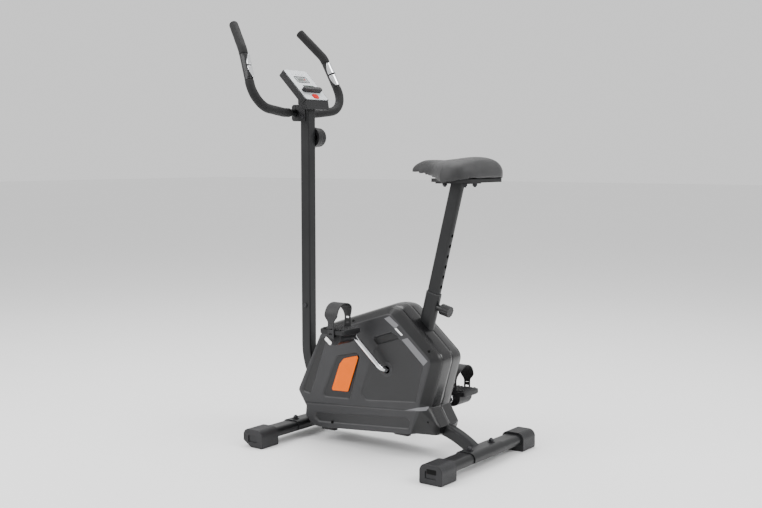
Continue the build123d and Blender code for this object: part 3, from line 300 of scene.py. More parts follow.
def soft_rubber(name, colour=(0.014, 0.014, 0.015)):
    """Moulded rubber: dull, with a matt bloom and a fine texture."""
    finish = Finish(name, colour, 0.6, shine=0.35)
    bloom = finish.noise(40, 5).rise(0.4, 0.8)
    finish.set("Base Color", finish.blend(bloom, colour, shade(colour, 1.5)))
    finish.set("Roughness", 0.5 + 0.2 * bloom)
    finish.bump(finish.noise(1200, 2), 0.00006)
    return finish.material


# %% [markdown]
# ## Finishes for the rest
# The flywheel is turned cast iron, whose rings show where the tool went round. The display is a grey
# panel, and the circuit board has tracks. They hardly show, but a part is seen from all sides.

# %% Iron, glass and board
wheel_low, wheel_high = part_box("flywheel")
wheel_x = (wheel_low[0] + wheel_high[0]) / 2
wheel_z = (wheel_low[2] + wheel_high[2]) / 2


def turned_iron(name):
    """Rings: the sine of the distance from the axle, 1.2 mm from crest to crest, broken up by noise."""
    colour = (0.16, 0.16, 0.17)
    finish = Finish(name, colour, 0.4, metallic=0.9)
    x, y, z = finish.axes()
    dx = x - wheel_x
    dz = z - wheel_z
    distance = (dx * dx + dz * dz).root()
    rings = (distance * (2 * math.pi / 0.0012)).wave()
    finish.set("Base Color", finish.blend(finish.noise(60, 4), shade(colour, 0.7), shade(colour, 1.2)))
    finish.set("Roughness", 0.32 + 0.15 * finish.noise(200, 3))
    finish.bump(rings * 0.5 + finish.noise(900, 2), 0.00004)
    return finish.material


def grey_window(name):
    """A clear window over a display: nearly opaque grey, glossy, with a faint square lattice of cells."""
    finish = Finish(name, (0.2, 0.22, 0.21), 0.12, coat=0.6)
    x, y, z = finish.axes()
    lattice = ((y * 3400).wave() * ((z - x) * 2400).wave()).rise(0.2, 0.9)
    finish.set("Base Color", finish.blend(lattice * 0.25, (0.20, 0.215, 0.21), (0.12, 0.13, 0.125)))
    return finish.material


def board_finish(name):
    """Green lacquer over copper tracks, which are narrow bands of a sine on y."""
    finish = Finish(name, (0.02, 0.14, 0.05), 0.35)
    x, y, z = finish.axes()
    tracks = (y * 1500).wave().rise(0.86, 0.95) * finish.noise(60, 1).rise(0.45, 0.55)
    finish.set("Base Color", finish.blend(tracks, (0.015, 0.12, 0.045), (0.09, 0.24, 0.08)))
    finish.bump(tracks, 0.00003)
    return finish.material


def satin_silver(name):
    """Metallic paint: a light grey with flakes far smaller than a millimetre."""
    finish = Finish(name, (0.56, 0.58, 0.6), 0.36, metallic=0.35, coat=0.2)
    flakes = finish.noise(2600, 2)
    finish.set("Base Color", finish.blend(flakes.rise(0.35, 0.7), (0.50, 0.52, 0.54), (0.66, 0.68, 0.70)))
    finish.set("Roughness", 0.3 + 0.14 * finish.noise(50, 4))
    finish.bump(flakes, 0.00002)
    return finish.material


def glossy_colour(name, colour, roughness=0.3):
    """A moulded colour with a slight mottle and a clear skin."""
    finish = Finish(name, colour, roughness, shine=0.12)
    cloud = finish.noise(35, 4)
    finish.set("Base Color", finish.blend(cloud.rise(0.3, 0.75), shade(colour, 0.92), colour))
    finish.set("Roughness", roughness + 0.1 * finish.noise(80, 3))
    finish.bump(finish.noise(900, 2), 0.00003)
    return finish.material


# %% [markdown]
# ## The covers' paint
# The side panels are charcoal and slightly rough. The rim and the middle are black, and the middle is
# polished. Silver flashes run down the rear of each panel, and the upper one is partly a painted
# reflection lying on the panel. A flash is a leaning four-sided shape, so its mask is the least of four
# half-planes, each a straight-line sum of x and z.

# %% Cover finish with its flashes and a painted reflection
flashes_and_reflection = [
    [(-277, 393), (-259, 401), (-227, 378), (-240, 368)],
    [(-216, 338), (-196, 345), (-128, 286), (-142, 272)],
]
skirt_flash = [(-206, 137), (-160, 151), (-136, 154), (-140, 143)]
dash = [(-241, 367), (-235, 370), (-212, 352), (-217, 349)]


def inside(finish, x, z, corners, edge=0.0008):
    """1 inside a convex shape listed in order, 0 outside, from the distance to its nearest side."""
    points = place([(px, 0, pz) for px, pz in corners])[:, ::2]
    middle = points.mean(axis=0)
    nearest = None
    for start, end in zip(points, np.roll(points, -1, axis=0)):
        normal = np.array([start[1] - end[1], end[0] - start[0]])
        normal = normal / np.linalg.norm(normal)
        if np.dot(middle - start, normal) < 0:
            normal = -normal
        distance = x * float(normal[0]) + z * float(normal[1]) - float(np.dot(start, normal))
        nearest = distance if nearest is None else nearest.least(distance)
    return nearest.rise(-edge / 2, edge / 2)


def cover_finish(name):
    finish = Finish(name, (0.02, 0.02, 0.021), 0.45, shine=0.4)
    x, y, z = finish.axes()
    out = y.size()
    panel = out.rise(0.0715, 0.0735)
    barrel = 1 - out.rise(0.0435, 0.0455)
    cloud = finish.noise(7, 4)
    charcoal = finish.blend(cloud.rise(0.3, 0.8), (0.0185, 0.0185, 0.02), (0.026, 0.026, 0.028))
    # The upper shape, at half strength, is partly a silver flash and partly a painted reflection on the
    # panel.
    silver_and_reflection = inside(finish, x, z, flashes_and_reflection[0]) * 0.5
    silver_and_reflection = silver_and_reflection.most(inside(finish, x, z, flashes_and_reflection[1]) * 0.42)
    painted = finish.blend(silver_and_reflection * panel, charcoal, (0.3, 0.3, 0.315))
    painted = finish.blend(inside(finish, x, z, dash) * panel, painted, (0.8, 0.8, 0.81))
    bodied = finish.blend(panel, (0.006, 0.006, 0.0065), painted)
    band = inside(finish, x, z, skirt_flash) * out.rise(0.052, 0.055)
    finish.set("Base Color", finish.blend(band * 0.5, bodied, (0.3, 0.3, 0.315)))
    finish.set("Roughness", 0.34 - barrel * 0.14 + panel * 0.08 + finish.noise(40, 4) * 0.1)
    finish.set("Coat Weight", barrel * 0.12)
    finish.bump(finish.cells(1100).rise(0.0, 0.3) * (1 - barrel), 0.00003)
    return finish.material


# %% [markdown]
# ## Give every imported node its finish
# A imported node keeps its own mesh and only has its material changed. Those that a new piece stands for
# get one too, so nothing is left plain.

# %% Finishes by slot
finishes = {
    "powder_black": powder_coat("powder_black"),
    "bare_steel": bright_metal("zinc_plate", (0.5, 0.5, 0.51), 0.28, 0.1),
    "chrome_plate": bright_metal("chrome_plate", (0.83, 0.84, 0.86), 0.09, 0.02),
    "cast_iron_grey": turned_iron("turned_iron"),
    "black_plastic": grained_plastic("black_plastic", (0.01, 0.01, 0.011), 0.4),
    "cover_plastic": cover_finish("cover_plastic"),
    "orange_plastic": glossy_colour("orange_plastic", (0.82, 0.135, 0.0), 0.5),
    "silver_plastic": satin_silver("silver_paint"),
    "cap_plastic": grained_plastic("cap_plastic", (0.014, 0.014, 0.0155), 0.46, grain=700),
    "pedal_plastic": grained_plastic("pedal_plastic", (0.009, 0.009, 0.01), 0.42),
    "strap_rubber": soft_rubber("strap_rubber"),
    "belt_rubber": soft_rubber("belt_rubber", (0.01, 0.01, 0.01)),
    "wheel_plastic": grained_plastic("wheel_nylon", (0.01, 0.01, 0.011), 0.38),
    "foam": foam_finish("grip_foam"),
    "vinyl": vinyl_finish("seat_vinyl"),
    "pan_plastic": grained_plastic("pan_plastic", (0.006, 0.006, 0.0065), 0.6, grain=500),
    "magnet_metal": bright_metal("nickel_plate", (0.4, 0.4, 0.42), 0.25, 0.05),
    "bearing_steel": bright_metal("ground_steel", (0.55, 0.55, 0.57), 0.22, 0.2, (1, 12, 1)),
    "lens": grey_window("display_window"),
    "board_green": board_finish("circuit_board"),
    "battery_wrap": glossy_colour("battery_wrap", (0.06, 0.14, 0.3)),
    "red_rubber": glossy_colour("red_key", (0.5, 0.004, 0.003), 0.45),
    "liner_nylon": grained_plastic("liner_nylon", (0.03, 0.03, 0.031), 0.45),
}
dark_steel = bright_metal("black_oxide", (0.05, 0.05, 0.053), 0.4, 0.05)
dark_nodes = ["seat_nuts", "foot_bolts", "cover_screws", "pedal_spindles", "frame_bolts"]
slot_of = {entry["node"]: entry["material_slot"] for entry in record["subparts"]}
for node_name, packed in frame["nodes"].items():
    for packed_slot in packed.material_slots:
        packed_slot.material = dark_steel if node_name in dark_nodes else finishes[slot_of[node_name]]
print(len(frame["nodes"]), "nodes finished with", len(finishes), "finishes")

# %% [markdown]
# ## Surfaces from arrays
# A new piece is a grid of points worked out with numpy, one array for the whole surface. Two helpers turn
# the grid into a mesh: one lists the four corners of each face, and one makes the object.

# %% From a grid to an object


def grid_faces(rows, columns, close_rows=False, close_columns=False):
    """Corner numbers of every face of a grid, in order; a closed direction joins its end to its start."""
    last_row = rows if close_rows else rows - 1
    last_column = columns if close_columns else columns - 1
    row, column = np.meshgrid(np.arange(last_row), np.arange(last_column), indexing="ij")
    next_row = (row + 1) % rows
    next_column = (column + 1) % columns
    corners = [row * columns + column, next_row * columns + column,
               next_row * columns + next_column, row * columns + next_column]
    return np.stack([corner.ravel() for corner in corners], axis=1)


def signed_volume(points, faces):
    """Sum of the tetrahedra from the origin to each face: positive when faces point outwards."""
    a, b, c, d = (points[faces[:, k]] for k in range(4))
    first = np.einsum("ij,ij->i", a, np.cross(b, c))
    second = np.einsum("ij,ij->i", a, np.cross(c, d))
    return (first.sum() + second.sum()) / 6


def make_piece(name, points, faces, slot_name, body, caps=(), turn=True):
    """An object at the origin from points in the frame, with caps as extra many-sided faces."""
    points = np.asarray(points, dtype=float).reshape(-1, 3)
    faces = np.asarray(faces)
    flip = turn and signed_volume(points - points.mean(axis=0), faces) < 0
    if flip:
        faces = faces[:, ::-1]
    listed = faces.tolist() + [list(cap) for cap in caps]
    mesh = bpy.data.meshes.new(name)
    mesh.from_pydata(points.tolist(), [], listed)
    mesh.validate()
    mesh.polygons.foreach_set("use_smooth", [True] * len(mesh.polygons))
    mesh.materials.append(finishes[slot_name])
    piece = bpy.data.objects.new(name, mesh)
    bpy.context.scene.collection.objects.link(piece)
    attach(piece, body)
    print(name, len(points), "points")
    return piece


def thicken(piece, wall):
    """Give a sheet a wall, half of it on each side."""
    shell = piece.modifiers.new("wall", "SOLIDIFY")
    shell.thickness = wall
    shell.offset = 0.0


# %% [markdown]
# ## Rounded lines
# Bars, straps and mouldings all follow lines whose corners are rounded by arcs. Each corner is replaced
# by an arc that touches both of its straights, and the whole line is then resampled at even steps, so
# that a surface carried along it has even faces.

# %% Rounded and even lines


def corner_arc(before, corner, after, radius, steps=12):
    """Points on the arc that touches both straights at a corner.

    Cut back by radius * tan(turn / 2), then slide along the circle through the two touching points."""
    to_before = (before - corner) / np.linalg.norm(before - corner)
    to_after = (after - corner) / np.linalg.norm(after - corner)
    between = math.acos(np.clip(np.dot(to_before, to_after), -1, 1))
    if math.pi - between < 1e-4 or radius <= 0:
        return corner[None, :]
    reach = radius / math.tan(between / 2)
    reach = min(reach, 0.49 * np.linalg.norm(before - corner), 0.49 * np.linalg.norm(after - corner))
    radius = reach * math.tan(between / 2)
    bisector = (to_before + to_after) / np.linalg.norm(to_before + to_after)
    centre = corner + bisector * radius / math.sin(between / 2)
    start = corner + to_before * reach - centre
    end = corner + to_after * reach - centre
    turn = math.pi - between
    share = np.linspace(0, 1, steps)[:, None]
    return centre + (start * np.sin((1 - share) * turn) + end * np.sin(share * turn)) / math.sin(turn)


def rounded(points, radii, closed=False):
    """A line through points with each corner rounded; an open line keeps its two ends."""
    points = np.asarray(points, dtype=float)
    count = len(points)
    chosen = range(count) if closed else range(1, count - 1)
    arcs = [corner_arc(points[i - 1], points[i], points[(i + 1) % count], radii[i]) for i in chosen]
    if closed:
        return np.vstack(arcs)
    return np.vstack([points[:1], *arcs, points[-1:]])


def even(line, count, closed=False):
    """The same line at equal steps: interpolate each coordinate against the distance travelled."""
    if closed:
        line = np.vstack([line, line[:1]])
    steps = np.linalg.norm(np.diff(line, axis=0), axis=1)
    travelled = np.concatenate([[0], np.cumsum(steps)])
    wanted = np.linspace(0, travelled[-1], count, endpoint=not closed)
    return np.stack([np.interp(wanted, travelled, line[:, k]) for k in range(line.shape[1])], axis=1)


# %% [markdown]
# ## The moulded covers
# Each cover is one moulding: a broad panel with sunk fields, a rim, and a fuller middle where the two
# halves meet. It could be boxes with bevels, but then the fields would have no soft edges. Here the whole
# half is one grid wrapped round like a tyre. One direction goes round the outline as seen from the crank,
# and the other goes from the seam, over the rim, across the panel, in at the crank's hole and back inside.

# %% Outlines of the covers, seen from the crank
crank_x, crank_z = -270.0, 246.0
cover_half = 75.0
panel_corners = [(-259, 408), (-512, 326), (-600, 148), (-569, 102), (-572, 76), (-546, 46), (-500, 45),
                 (-184, 71), (-176, 103), (-163, 145), (-120, 286)]
panel_radii = [20, 12, 12, 6, 8, 14, 14, 5, 5, 5, 20]
barrel_corners = [(-253, 434), (-509, 349), (-607, 151), (-573, 104), (-576, 76), (-549, 43), (-500, 42),
                  (-112, 73), (-104, 98), (-134, 148), (-93, 294)]
barrel_radii = [48, 24, 16, 6, 8, 16, 16, 6, 6, 5, 32]
round_steps = 660


def seen_from_crank(line):
    """Angle and distance of each point of a closed line, in the order of growing angle."""
    offset = line - np.array([crank_x, crank_z])
    angle = np.mod(np.arctan2(offset[:, 1], offset[:, 0]), 2 * math.pi)
    order = np.argsort(angle)
    return angle[order], np.hypot(offset[:, 0], offset[:, 1])[order]


def reach_at(line, wanted):
    """Distance from the crank to the line at the wanted angles, by interpolation round the circle."""
    angle, distance = seen_from_crank(line)
    return np.interp(wanted, angle, distance, period=2 * math.pi)


def lean_factor(reach, angle):
    """How many times further a step must go along the ray to move a side outwards by one."""
    slope = np.gradient(np.concatenate([reach[-2:], reach, reach[:2]]))[2:-2]
    step = np.gradient(np.unwrap(np.concatenate([angle[-2:], angle, angle[:2]])))[2:-2]
    return np.hypot(reach, slope / np.maximum(step, 1e-6)) / reach


panel_line = even(rounded(panel_corners, panel_radii, True), 6000, True)
barrel_line = even(rounded(barrel_corners, barrel_radii, True), 6000, True)
round_angle = seen_from_crank(even(barrel_line, round_steps, True))[0]
panel_reach = reach_at(panel_line, round_angle)
barrel_reach = reach_at(barrel_line, round_angle)
panel_lean = np.minimum(lean_factor(panel_reach, round_angle), 1.6)
print("panel reaches from", round(float(panel_reach.min())), "to", round(float(panel_reach.max())), "mm")

# %% [markdown]
# ## Sunk fields
# A field's depth at a point comes from the distance to its outline: nothing outside, the full depth a few
# millimetres inside, and a smooth fall between. The distance is worked out for all points at once.

# %% Depth of the panel


def inside_distance(x, z, corners):
    """Distance to the nearest side of a polygon, positive inside and negative outside."""
    corners = np.asarray(corners, dtype=float)
    nearest = np.full(x.shape, 1e9)
    crossings = np.zeros(x.shape, dtype=int)
    for (ax, az), (bx, bz) in zip(corners, np.roll(corners, -1, axis=0)):
        run_x, run_z = bx - ax, bz - az
        share = np.clip(((x - ax) * run_x + (z - az) * run_z) / (run_x ** 2 + run_z ** 2), 0, 1)
        nearest = np.minimum(nearest, np.hypot(x - ax - share * run_x, z - az - share * run_z))
        level = (az > z) != (bz > z)
        crossing_x = ax + (z - az) * run_x / (run_z if run_z else 1e-9)
        crossings += (level & (x < crossing_x)).astype(int)
    return np.where(crossings % 2 == 1, nearest, -nearest)


def smooth(value, start, end):
    """0 before start, 1 after end, with a level start and finish."""
    share = np.clip((value - start) / (end - start), 0, 1)
    return share * share * (3 - 2 * share)


# Each field: the corners of its outline, their radii, how deep it is and how wide its slope is.
fields = [
    ([(-360, 290), (-452, 268), (-511, 136), (-400, 142)], [14, 16, 12, 12], 3.4, 4.0),
    ([(-322, 284), (-363, 166), (-344, 146), (-166, 163), (-140, 272), (-228, 345), (-300, 326)],
     [8, 8, 14, 8, 16, 14, 10], 2.6, 4.0),
    ([(-513, 316), (-484, 324), (-551, 138), (-588, 144)], [8, 8, 10, 10], 3.4, 4.5),
    ([(-322, 334), (-252, 357), (-214, 341), (-304, 313)], [7, 7, 7, 7], 6.5, 4.0),
    ([(-535, 88), (-541, 72), (-520, 58), (-188, 84), (-184, 112), (-200, 119)],
     [8, 8, 12, 10, 10, 10], 2.6, 4.0),
]
field_outlines = [(even(rounded(corners, radii, True), 120, True), deep, wide)
                  for corners, radii, deep, wide in fields]
skirt_step = ((-600, 108.5), (-140, 142.5), 3.2, 2.2)
boss_radius, boss_slope, boss_depth = 19, 3, 1.2


def panel_depth(x, z):
    """How far the panel lies below its rim: sunk fields, the groove over the skirt, and the crank's boss."""
    depth = np.zeros(x.shape)
    for outline, deep, wide in field_outlines:
        depth = np.maximum(depth, deep * smooth(inside_distance(x, z, outline), 0, wide))
    (ax, az), (bx, bz), wide, deep = skirt_step
    share = ((x - ax) * (bx - ax) + (z - az) * (bz - az)) / ((bx - ax) ** 2 + (bz - az) ** 2)
    away = np.hypot(x - ax - share * (bx - ax), z - az - share * (bz - az))
    depth = np.maximum(depth, deep * (1 - smooth(away, 0, wide)))
    beyond_boss = smooth(np.hypot(x - crank_x, z - crank_z), boss_radius, boss_radius + boss_slope)
    return depth * beyond_boss + boss_depth * (1 - beyond_boss)


# %% [markdown]
# The section across a cover starts at the middle of the bike with a full barrel, drops a little, slopes
# out along a shoulder, and turns the corner of the panel over a small bead. Each ring of the grid is one
# distance from the middle, with its share of the way from the panel's outline to the barrel's outline.

# %% Section across a half
hole_radius = 11.0
section_y = np.array([0, 7, 14, 21, 27, 32, 36, 39, 41.5, 43.2, 44.4, 45.4, 47, 50, 56, 62, 67, 71, 73, 74,
                      74.7, 75])
section_share = np.array([1] * 14 + [0.76, 0.52, 0.32, 0.16, 0.08, 0.035, 0.0, 0.0])
section_swell = np.array([5.2, 5.1, 4.8, 4.3, 3.7, 3.1, 2.4, 1.7, 0.9, 0.2, -0.4, -0.9, -1.1, -0.8, -0.3, 0,
                          0.1, 0.2, 0.1, -0.1, -0.7, -1.7])
swell_weight = 0.35 + 0.65 * smooth(np.sin(round_angle - 0.35), -0.25, 0.25)


def cover_half_points(side):
    """The whole half as a grid: rings of the rim, rings of the panel, the hole's lip and the inside."""
    way_x, way_z = np.cos(round_angle)[None, :], np.sin(round_angle)[None, :]
    gap = barrel_reach - panel_reach
    swell = section_swell[:, None]
    swell = np.where(swell > 0, swell * swell_weight[None, :], swell)
    rim = panel_reach[None, :] + section_share[:, None] * gap[None, :] + swell * panel_lean[None, :]
    rim_out = np.repeat(section_y[:, None], round_steps, axis=1)
    share = np.linspace(0, 1, 98)[1:, None]
    flat = rim[-1][None, :] * (1 - share) + hole_radius * share
    flat_out = cover_half - panel_depth(crank_x + flat * way_x, crank_z + flat * way_z)
    lip = np.full(round_steps, hole_radius)
    inner = np.stack([lip, panel_reach - 14, panel_reach - 10, barrel_reach - 9])
    inner_out = np.repeat(np.array([64.0, 64.0, 60.0, 0.0])[:, None], round_steps, axis=1)
    radius = np.vstack([rim, flat, inner])
    outward = np.vstack([rim_out, flat_out, inner_out])
    return place(np.stack([crank_x + radius * way_x, side * outward, crank_z + radius * way_z], axis=2))


for side, label in sides:
    half_points = cover_half_points(side)
    half_faces = grid_faces(len(half_points), round_steps, True, True)
    moulding = make_piece(f"{label}_cover_moulding", half_points, half_faces, "cover_plastic", "frame")
    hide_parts(f"{label}_cover")

# %% [markdown]
# ## Foam grips
# Foam is pushed over the bar in long sleeves. A sleeve is a circle carried along the bar's line, full in
# the middle and rolled in at its ends, and its closed end is a soft dome. Carrying a circle needs two
# directions across the line at each point, kept from twisting by carrying the first one forwards.

# %% Carry a circle along a line


def frames_along(line):
    """Unit directions along the line and two across it, the first found by projecting the one before."""
    along = np.gradient(line, axis=0)
    along /= np.linalg.norm(along, axis=1)[:, None]
    across = np.zeros_like(along)
    current = np.cross(along[0], [0, 0, 1.0])
    for index, direction in enumerate(along):
        current = current - np.dot(current, direction) * direction
        current = current / np.linalg.norm(current)
        across[index] = current
    return along, across, np.cross(along, across)


def round_tube(line, radius, count):
    """Centre plus radius times the cosine and sine of the angle round, along the two cross directions."""
    along, across, other = frames_along(line)
    angle = np.linspace(0, 2 * math.pi, count, endpoint=False)
    cosine, sine = np.cos(angle)[None, :, None], np.sin(angle)[None, :, None]
    spread = cosine * across[:, None, :] + sine * other[:, None, :]
    return line[:, None, :] + np.asarray(radius)[:, None, None] * spread


def bar_line(side):
    """The line of one half of the bar, from the clamp to its tip."""
    corners = [(-655, 0, 984), (-655, side * 70, 984), (-640, side * 214, 1000), (-710, side * 187, 1165),
               (-781, side * 151, 1247)]
    return even(rounded(corners, [0, 60, 72, 60, 0]), 700)


def between(line, start, end):
    """The stretch of a line between two distances from its start, at 1.5 mm steps."""
    travelled = np.concatenate([[0], np.cumsum(np.linalg.norm(np.diff(line, axis=0), axis=1))])
    wanted = np.linspace(start, end, int((end - start) / 1.5))
    return np.stack([np.interp(wanted, travelled, line[:, k]) for k in range(3)], axis=1)


def travel(line):
    return float(np.linalg.norm(np.diff(line, axis=0), axis=1).sum())


def sleeve_radius(count, length, full, dome):
    """The outside radius along a sleeve: a quarter-circle roll at each end, or a dome at the bar's tip."""
    distance = np.linspace(0, length, count)
    roll = 3.0
    start = full - roll + np.sqrt(np.clip(roll ** 2 - (roll - np.clip(distance, 0, roll)) ** 2, 0, None))
    left = length - distance
    if dome:
        end = full * np.sqrt(np.clip(1 - (1 - np.clip(left / 9.0, 0, 1)) ** 2, 0, 1))
    else:
        end = full - roll + np.sqrt(np.clip(roll ** 2 - (roll - np.clip(left, 0, roll)) ** 2, 0, None))
    return np.minimum(start, end)


grip_radius = 13.0
grip_steps = 40
clamp_reach = 44.0
sensor_at = (0.438, 0.902)


def upright(side, share):
    """A point on the straight between the bar's two bends."""
    low, high = np.array([-640, side * 214, 1000.0]), np.array([-710, side * 187, 1165.0])
    return low + (high - low) * share


for side, label in sides:
    line = bar_line(side)
    travelled = np.concatenate([[0], np.cumsum(np.linalg.norm(np.diff(line, axis=0), axis=1))])
    marks = [float(travelled[np.argmin(np.linalg.norm(line - upright(side, share), axis=1))])
             for share in sensor_at]
    sleeves = (("lower", clamp_reach, marks[0], False), ("upper", marks[1], travel(line), True))
    for part_name, start, end, dome in sleeves:
        stretch = between(line, start, end)
        if dome:
            tip_way = (line[-1] - line[-2]) / np.linalg.norm(line[-1] - line[-2])
            stretch = np.vstack([stretch, stretch[-1] + np.arange(1, 4)[:, None] * tip_way])
        step = np.arange(len(stretch))
        unevenness = 0.18 * np.sin(step * 0.21) * np.sin(step * 0.047 + side)
        radius = sleeve_radius(len(stretch), travel(stretch), grip_radius + 0.6, dome) + unevenness
        ring = round_tube(stretch, np.maximum(radius, 0.05), grip_steps)
        last = (len(stretch) - 1) * grip_steps
        caps = [list(range(grip_steps)), list(range(last + grip_steps - 1, last - 1, -1))]
        faces = grid_faces(len(stretch), grip_steps, False, True)
        sleeve = make_piece(f"{label}_{part_name}_grip", place(ring), faces, "foam", "handlebar_set", caps)
        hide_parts("foam_grips")

# %% [markdown]
# ## Contact plates for the pulse
# Each holder carries two bright plates that together make an almond, narrow at its ends. A plate is part
# of a tube round the bar: the angle that it covers grows and shrinks along the bar as the sine of the way.

# %% Contact plates


plate_turn, plate_rows, plate_columns = 1.25, 40, 25
plate_wall = 0.0012


def almond(side, start, end):
    """Part of a tube: half its angle is plate_turn times a power of the sine of the share of the way."""
    low, high = upright(side, sensor_at[0]), upright(side, sensor_at[1])
    along = (high - low) / np.linalg.norm(high - low)
    toward = np.array([0.88, -side * 0.42, 0.2])
    toward = toward - np.dot(toward, along) * along
    toward /= np.linalg.norm(toward)
    across = np.cross(along, toward)
    share = np.linspace(start, end, plate_rows)[:, None]
    turn = np.linspace(-1, 1, plate_columns)[None, :] * plate_turn * np.sin(math.pi * share) ** 0.55
    middle = low + (high - low) * share + toward * 3.4
    spread = np.cos(turn)[..., None] * toward + np.sin(turn)[..., None] * across
    return middle[:, None, :] + (grip_radius + 0.3) * spread


for side, label in sides:
    for part_name, start, end in (("lower", 0.05, 0.47), ("upper", 0.54, 0.95)):
        plate = make_piece(f"{label}_{part_name}_contact", place(almond(side, start, end)),
                           grid_faces(plate_rows, plate_columns), "chrome_plate", "handlebar_set", turn=False)
        thicken(plate, plate_wall)
        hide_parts("sensor_plates")

# %% [markdown]
# ## Seat
# The seat is a saddle with a narrow nose and two wings. Its side is full, with one crease where the wing
# begins. It starts as a closed shell: the outline from above, drawn in by a superellipse as it rises, so
# that the side is steep and the top nearly flat. The top itself follows a line along the seat that dips
# behind the nose and rises to the rear.

# %% Shell of the seat
seat_corners = [(-226, -15), (-219, -29), (-150, -44), (-104, -84), (-58, -122), (-30, -125), (2, -113),
                (23, -70), (26, 0)]
seat_corners += [(x, -y) for x, y in seat_corners[-2::-1]]
seat_radii = [14, 18, 90, 120, 9, 40, 50, 70, 120, 70, 50, 40, 9, 120, 90, 18, 14]
seat_centre = np.array([-78.0, 0.0])
seat_under = 792.5


def seat_top(x):
    """Height of the middle of the top: nose, dip, rise to the rear, and a fall at the tail."""
    return np.interp(x, [-230, -205, -180, -120, -60, -20, 10, 30],
                     [832, 838, 840.5, 838, 843.5, 849, 848, 842])


def seat_edge(x):
    """Height of the lower edge: high at the nose, lowest at the wings' front corners, higher behind."""
    return np.interp(x, [-230, -200, -150, -100, -60, -45, -20, 10, 30],
                     [810, 806, 798, 789, 781, 780, 784, 790, 794])


def seat_shell():
    """Rings from the middle of the top, out over the side, and back in along the underside."""
    outline = even(rounded(seat_corners, seat_radii, True), 260, True)
    rise = np.linspace(math.pi / 2, 0.0, 44)[1:]
    shrink = np.cos(rise) ** (2 / 4.6)
    height = np.sin(rise) ** (2 / 3.4)
    away = outline - seat_centre
    top_xy = seat_centre + away[None] * shrink[:, None, None]
    low = seat_edge(outline[:, 0])
    crown = 13 * (np.abs(top_xy[..., 1]) / 126) ** 2
    top_z = seat_top(top_xy[..., 0]) - crown
    z = low[None] + (top_z - low[None]) * height[:, None]
    under_shrink = np.array([0.985, 0.95, 0.9, 0.6, 0.25])
    under_lift = np.array([-1.5, 1.0, 5.0, 7.0, 7.0])
    under_xy = seat_centre + away[None] * under_shrink[:, None, None]
    under_z = low[None] + under_lift[:, None]
    under_z = np.where(under_lift[:, None] < 4.5, under_z, np.maximum(under_z, seat_under))
    return np.dstack([np.vstack([top_xy, under_xy]), np.vstack([z, under_z])])


shell = seat_shell()
ring_count, around = shell.shape[:2]
poles = [[seat_centre[0], 0, seat_top(seat_centre[0])], [seat_centre[0], 0, seat_under]]
shell_points = place(np.vstack([shell.reshape(-1, 3), poles]))
top_pole, base = ring_count * around, (ring_count - 1) * around
fans = [[top_pole, k, (k + 1) % around] for k in range(around)]
fans += [[top_pole + 1, base + (k + 1) % around, base + k] for k in range(around)]
seat = make_piece("seat_saddle", shell_points, grid_faces(ring_count, around, False, True), "vinyl", "seat",
                  caps=fans, turn=False)


def settle(piece, puff_limit, frames=20, voxel=0.005, pressure=4.0):
    """Blow a closed shell up a little with cloth pressure, and keep each point within puff_limit."""
    remesh = piece.modifiers.new("even", "REMESH")
    remesh.mode = "VOXEL"
    remesh.voxel_size = voxel
    bpy.context.view_layer.objects.active = piece
    piece.select_set(True)
    bpy.ops.object.modifier_apply(modifier="even")
    before = np.empty(len(piece.data.vertices) * 3)
    piece.data.vertices.foreach_get("co", before)
    cloth = piece.modifiers.new("cloth", "CLOTH")
    cloth.settings.use_pressure = True
    cloth.settings.uniform_pressure_force = pressure
    cloth.settings.effector_weights.gravity = 0
    cloth.settings.quality = 5
    cloth.settings.tension_stiffness = 40
    cloth.settings.compression_stiffness = 40
    for frame_number in range(1, frames + 1):
        bpy.context.scene.frame_set(frame_number)
    graph = bpy.context.evaluated_depsgraph_get()
    moved_mesh = piece.evaluated_get(graph).to_mesh()
    after = np.empty(len(moved_mesh.vertices) * 3)
    moved_mesh.vertices.foreach_get("co", after)
    piece.evaluated_get(graph).to_mesh_clear()
    piece.modifiers.remove(cloth)
    bpy.context.scene.frame_set(1)
    shift = (after - before).reshape(-1, 3)
    length = np.linalg.norm(shift, axis=1)
    scale = np.minimum(1, puff_limit / np.maximum(length, 1e-9))
    settled = before.reshape(-1, 3) + shift * scale[:, None]
    piece.data.vertices.foreach_set("co", settled.ravel())
    piece.data.polygons.foreach_set("use_smooth", [True] * len(piece.data.polygons))
    piece.data.update()
    print("seat settled by up to", round(float((length * scale).max()) * 1000, 1), "mm")


settle(seat, 0.004)
smoothing = seat.modifiers.new("subdivide", "SUBSURF")
smoothing.levels = 1
smoothing.render_levels = 1
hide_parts("seat_cushion")

# %% [markdown]
# ## Pedal straps
# A strap is one moulding: broad over the foot, narrow where it runs down to the pedal, with a ladder of
# slots for adjusting it. The band is a grid along the arch and across it. Faces that fall in a slot are
# left out, and Solidify gives the band its thickness.

# %% Straps
crank_reach = 142.0
crank_lean = math.radians(46.1)
pedal_inner, pedal_wide = 121.0, 80.0


def pedal_centre(side):
    """The pedal axle: the crank's reach along the line of its arm."""
    along = side * crank_reach
    return crank_x + along * math.cos(crank_lean), crank_z - along * math.sin(crank_lean)


strap_rows, strap_columns = 170, 41
strap_narrow, strap_gain, rib_height = 10.5, 12.5, 0.55
strap_wall = 0.0024


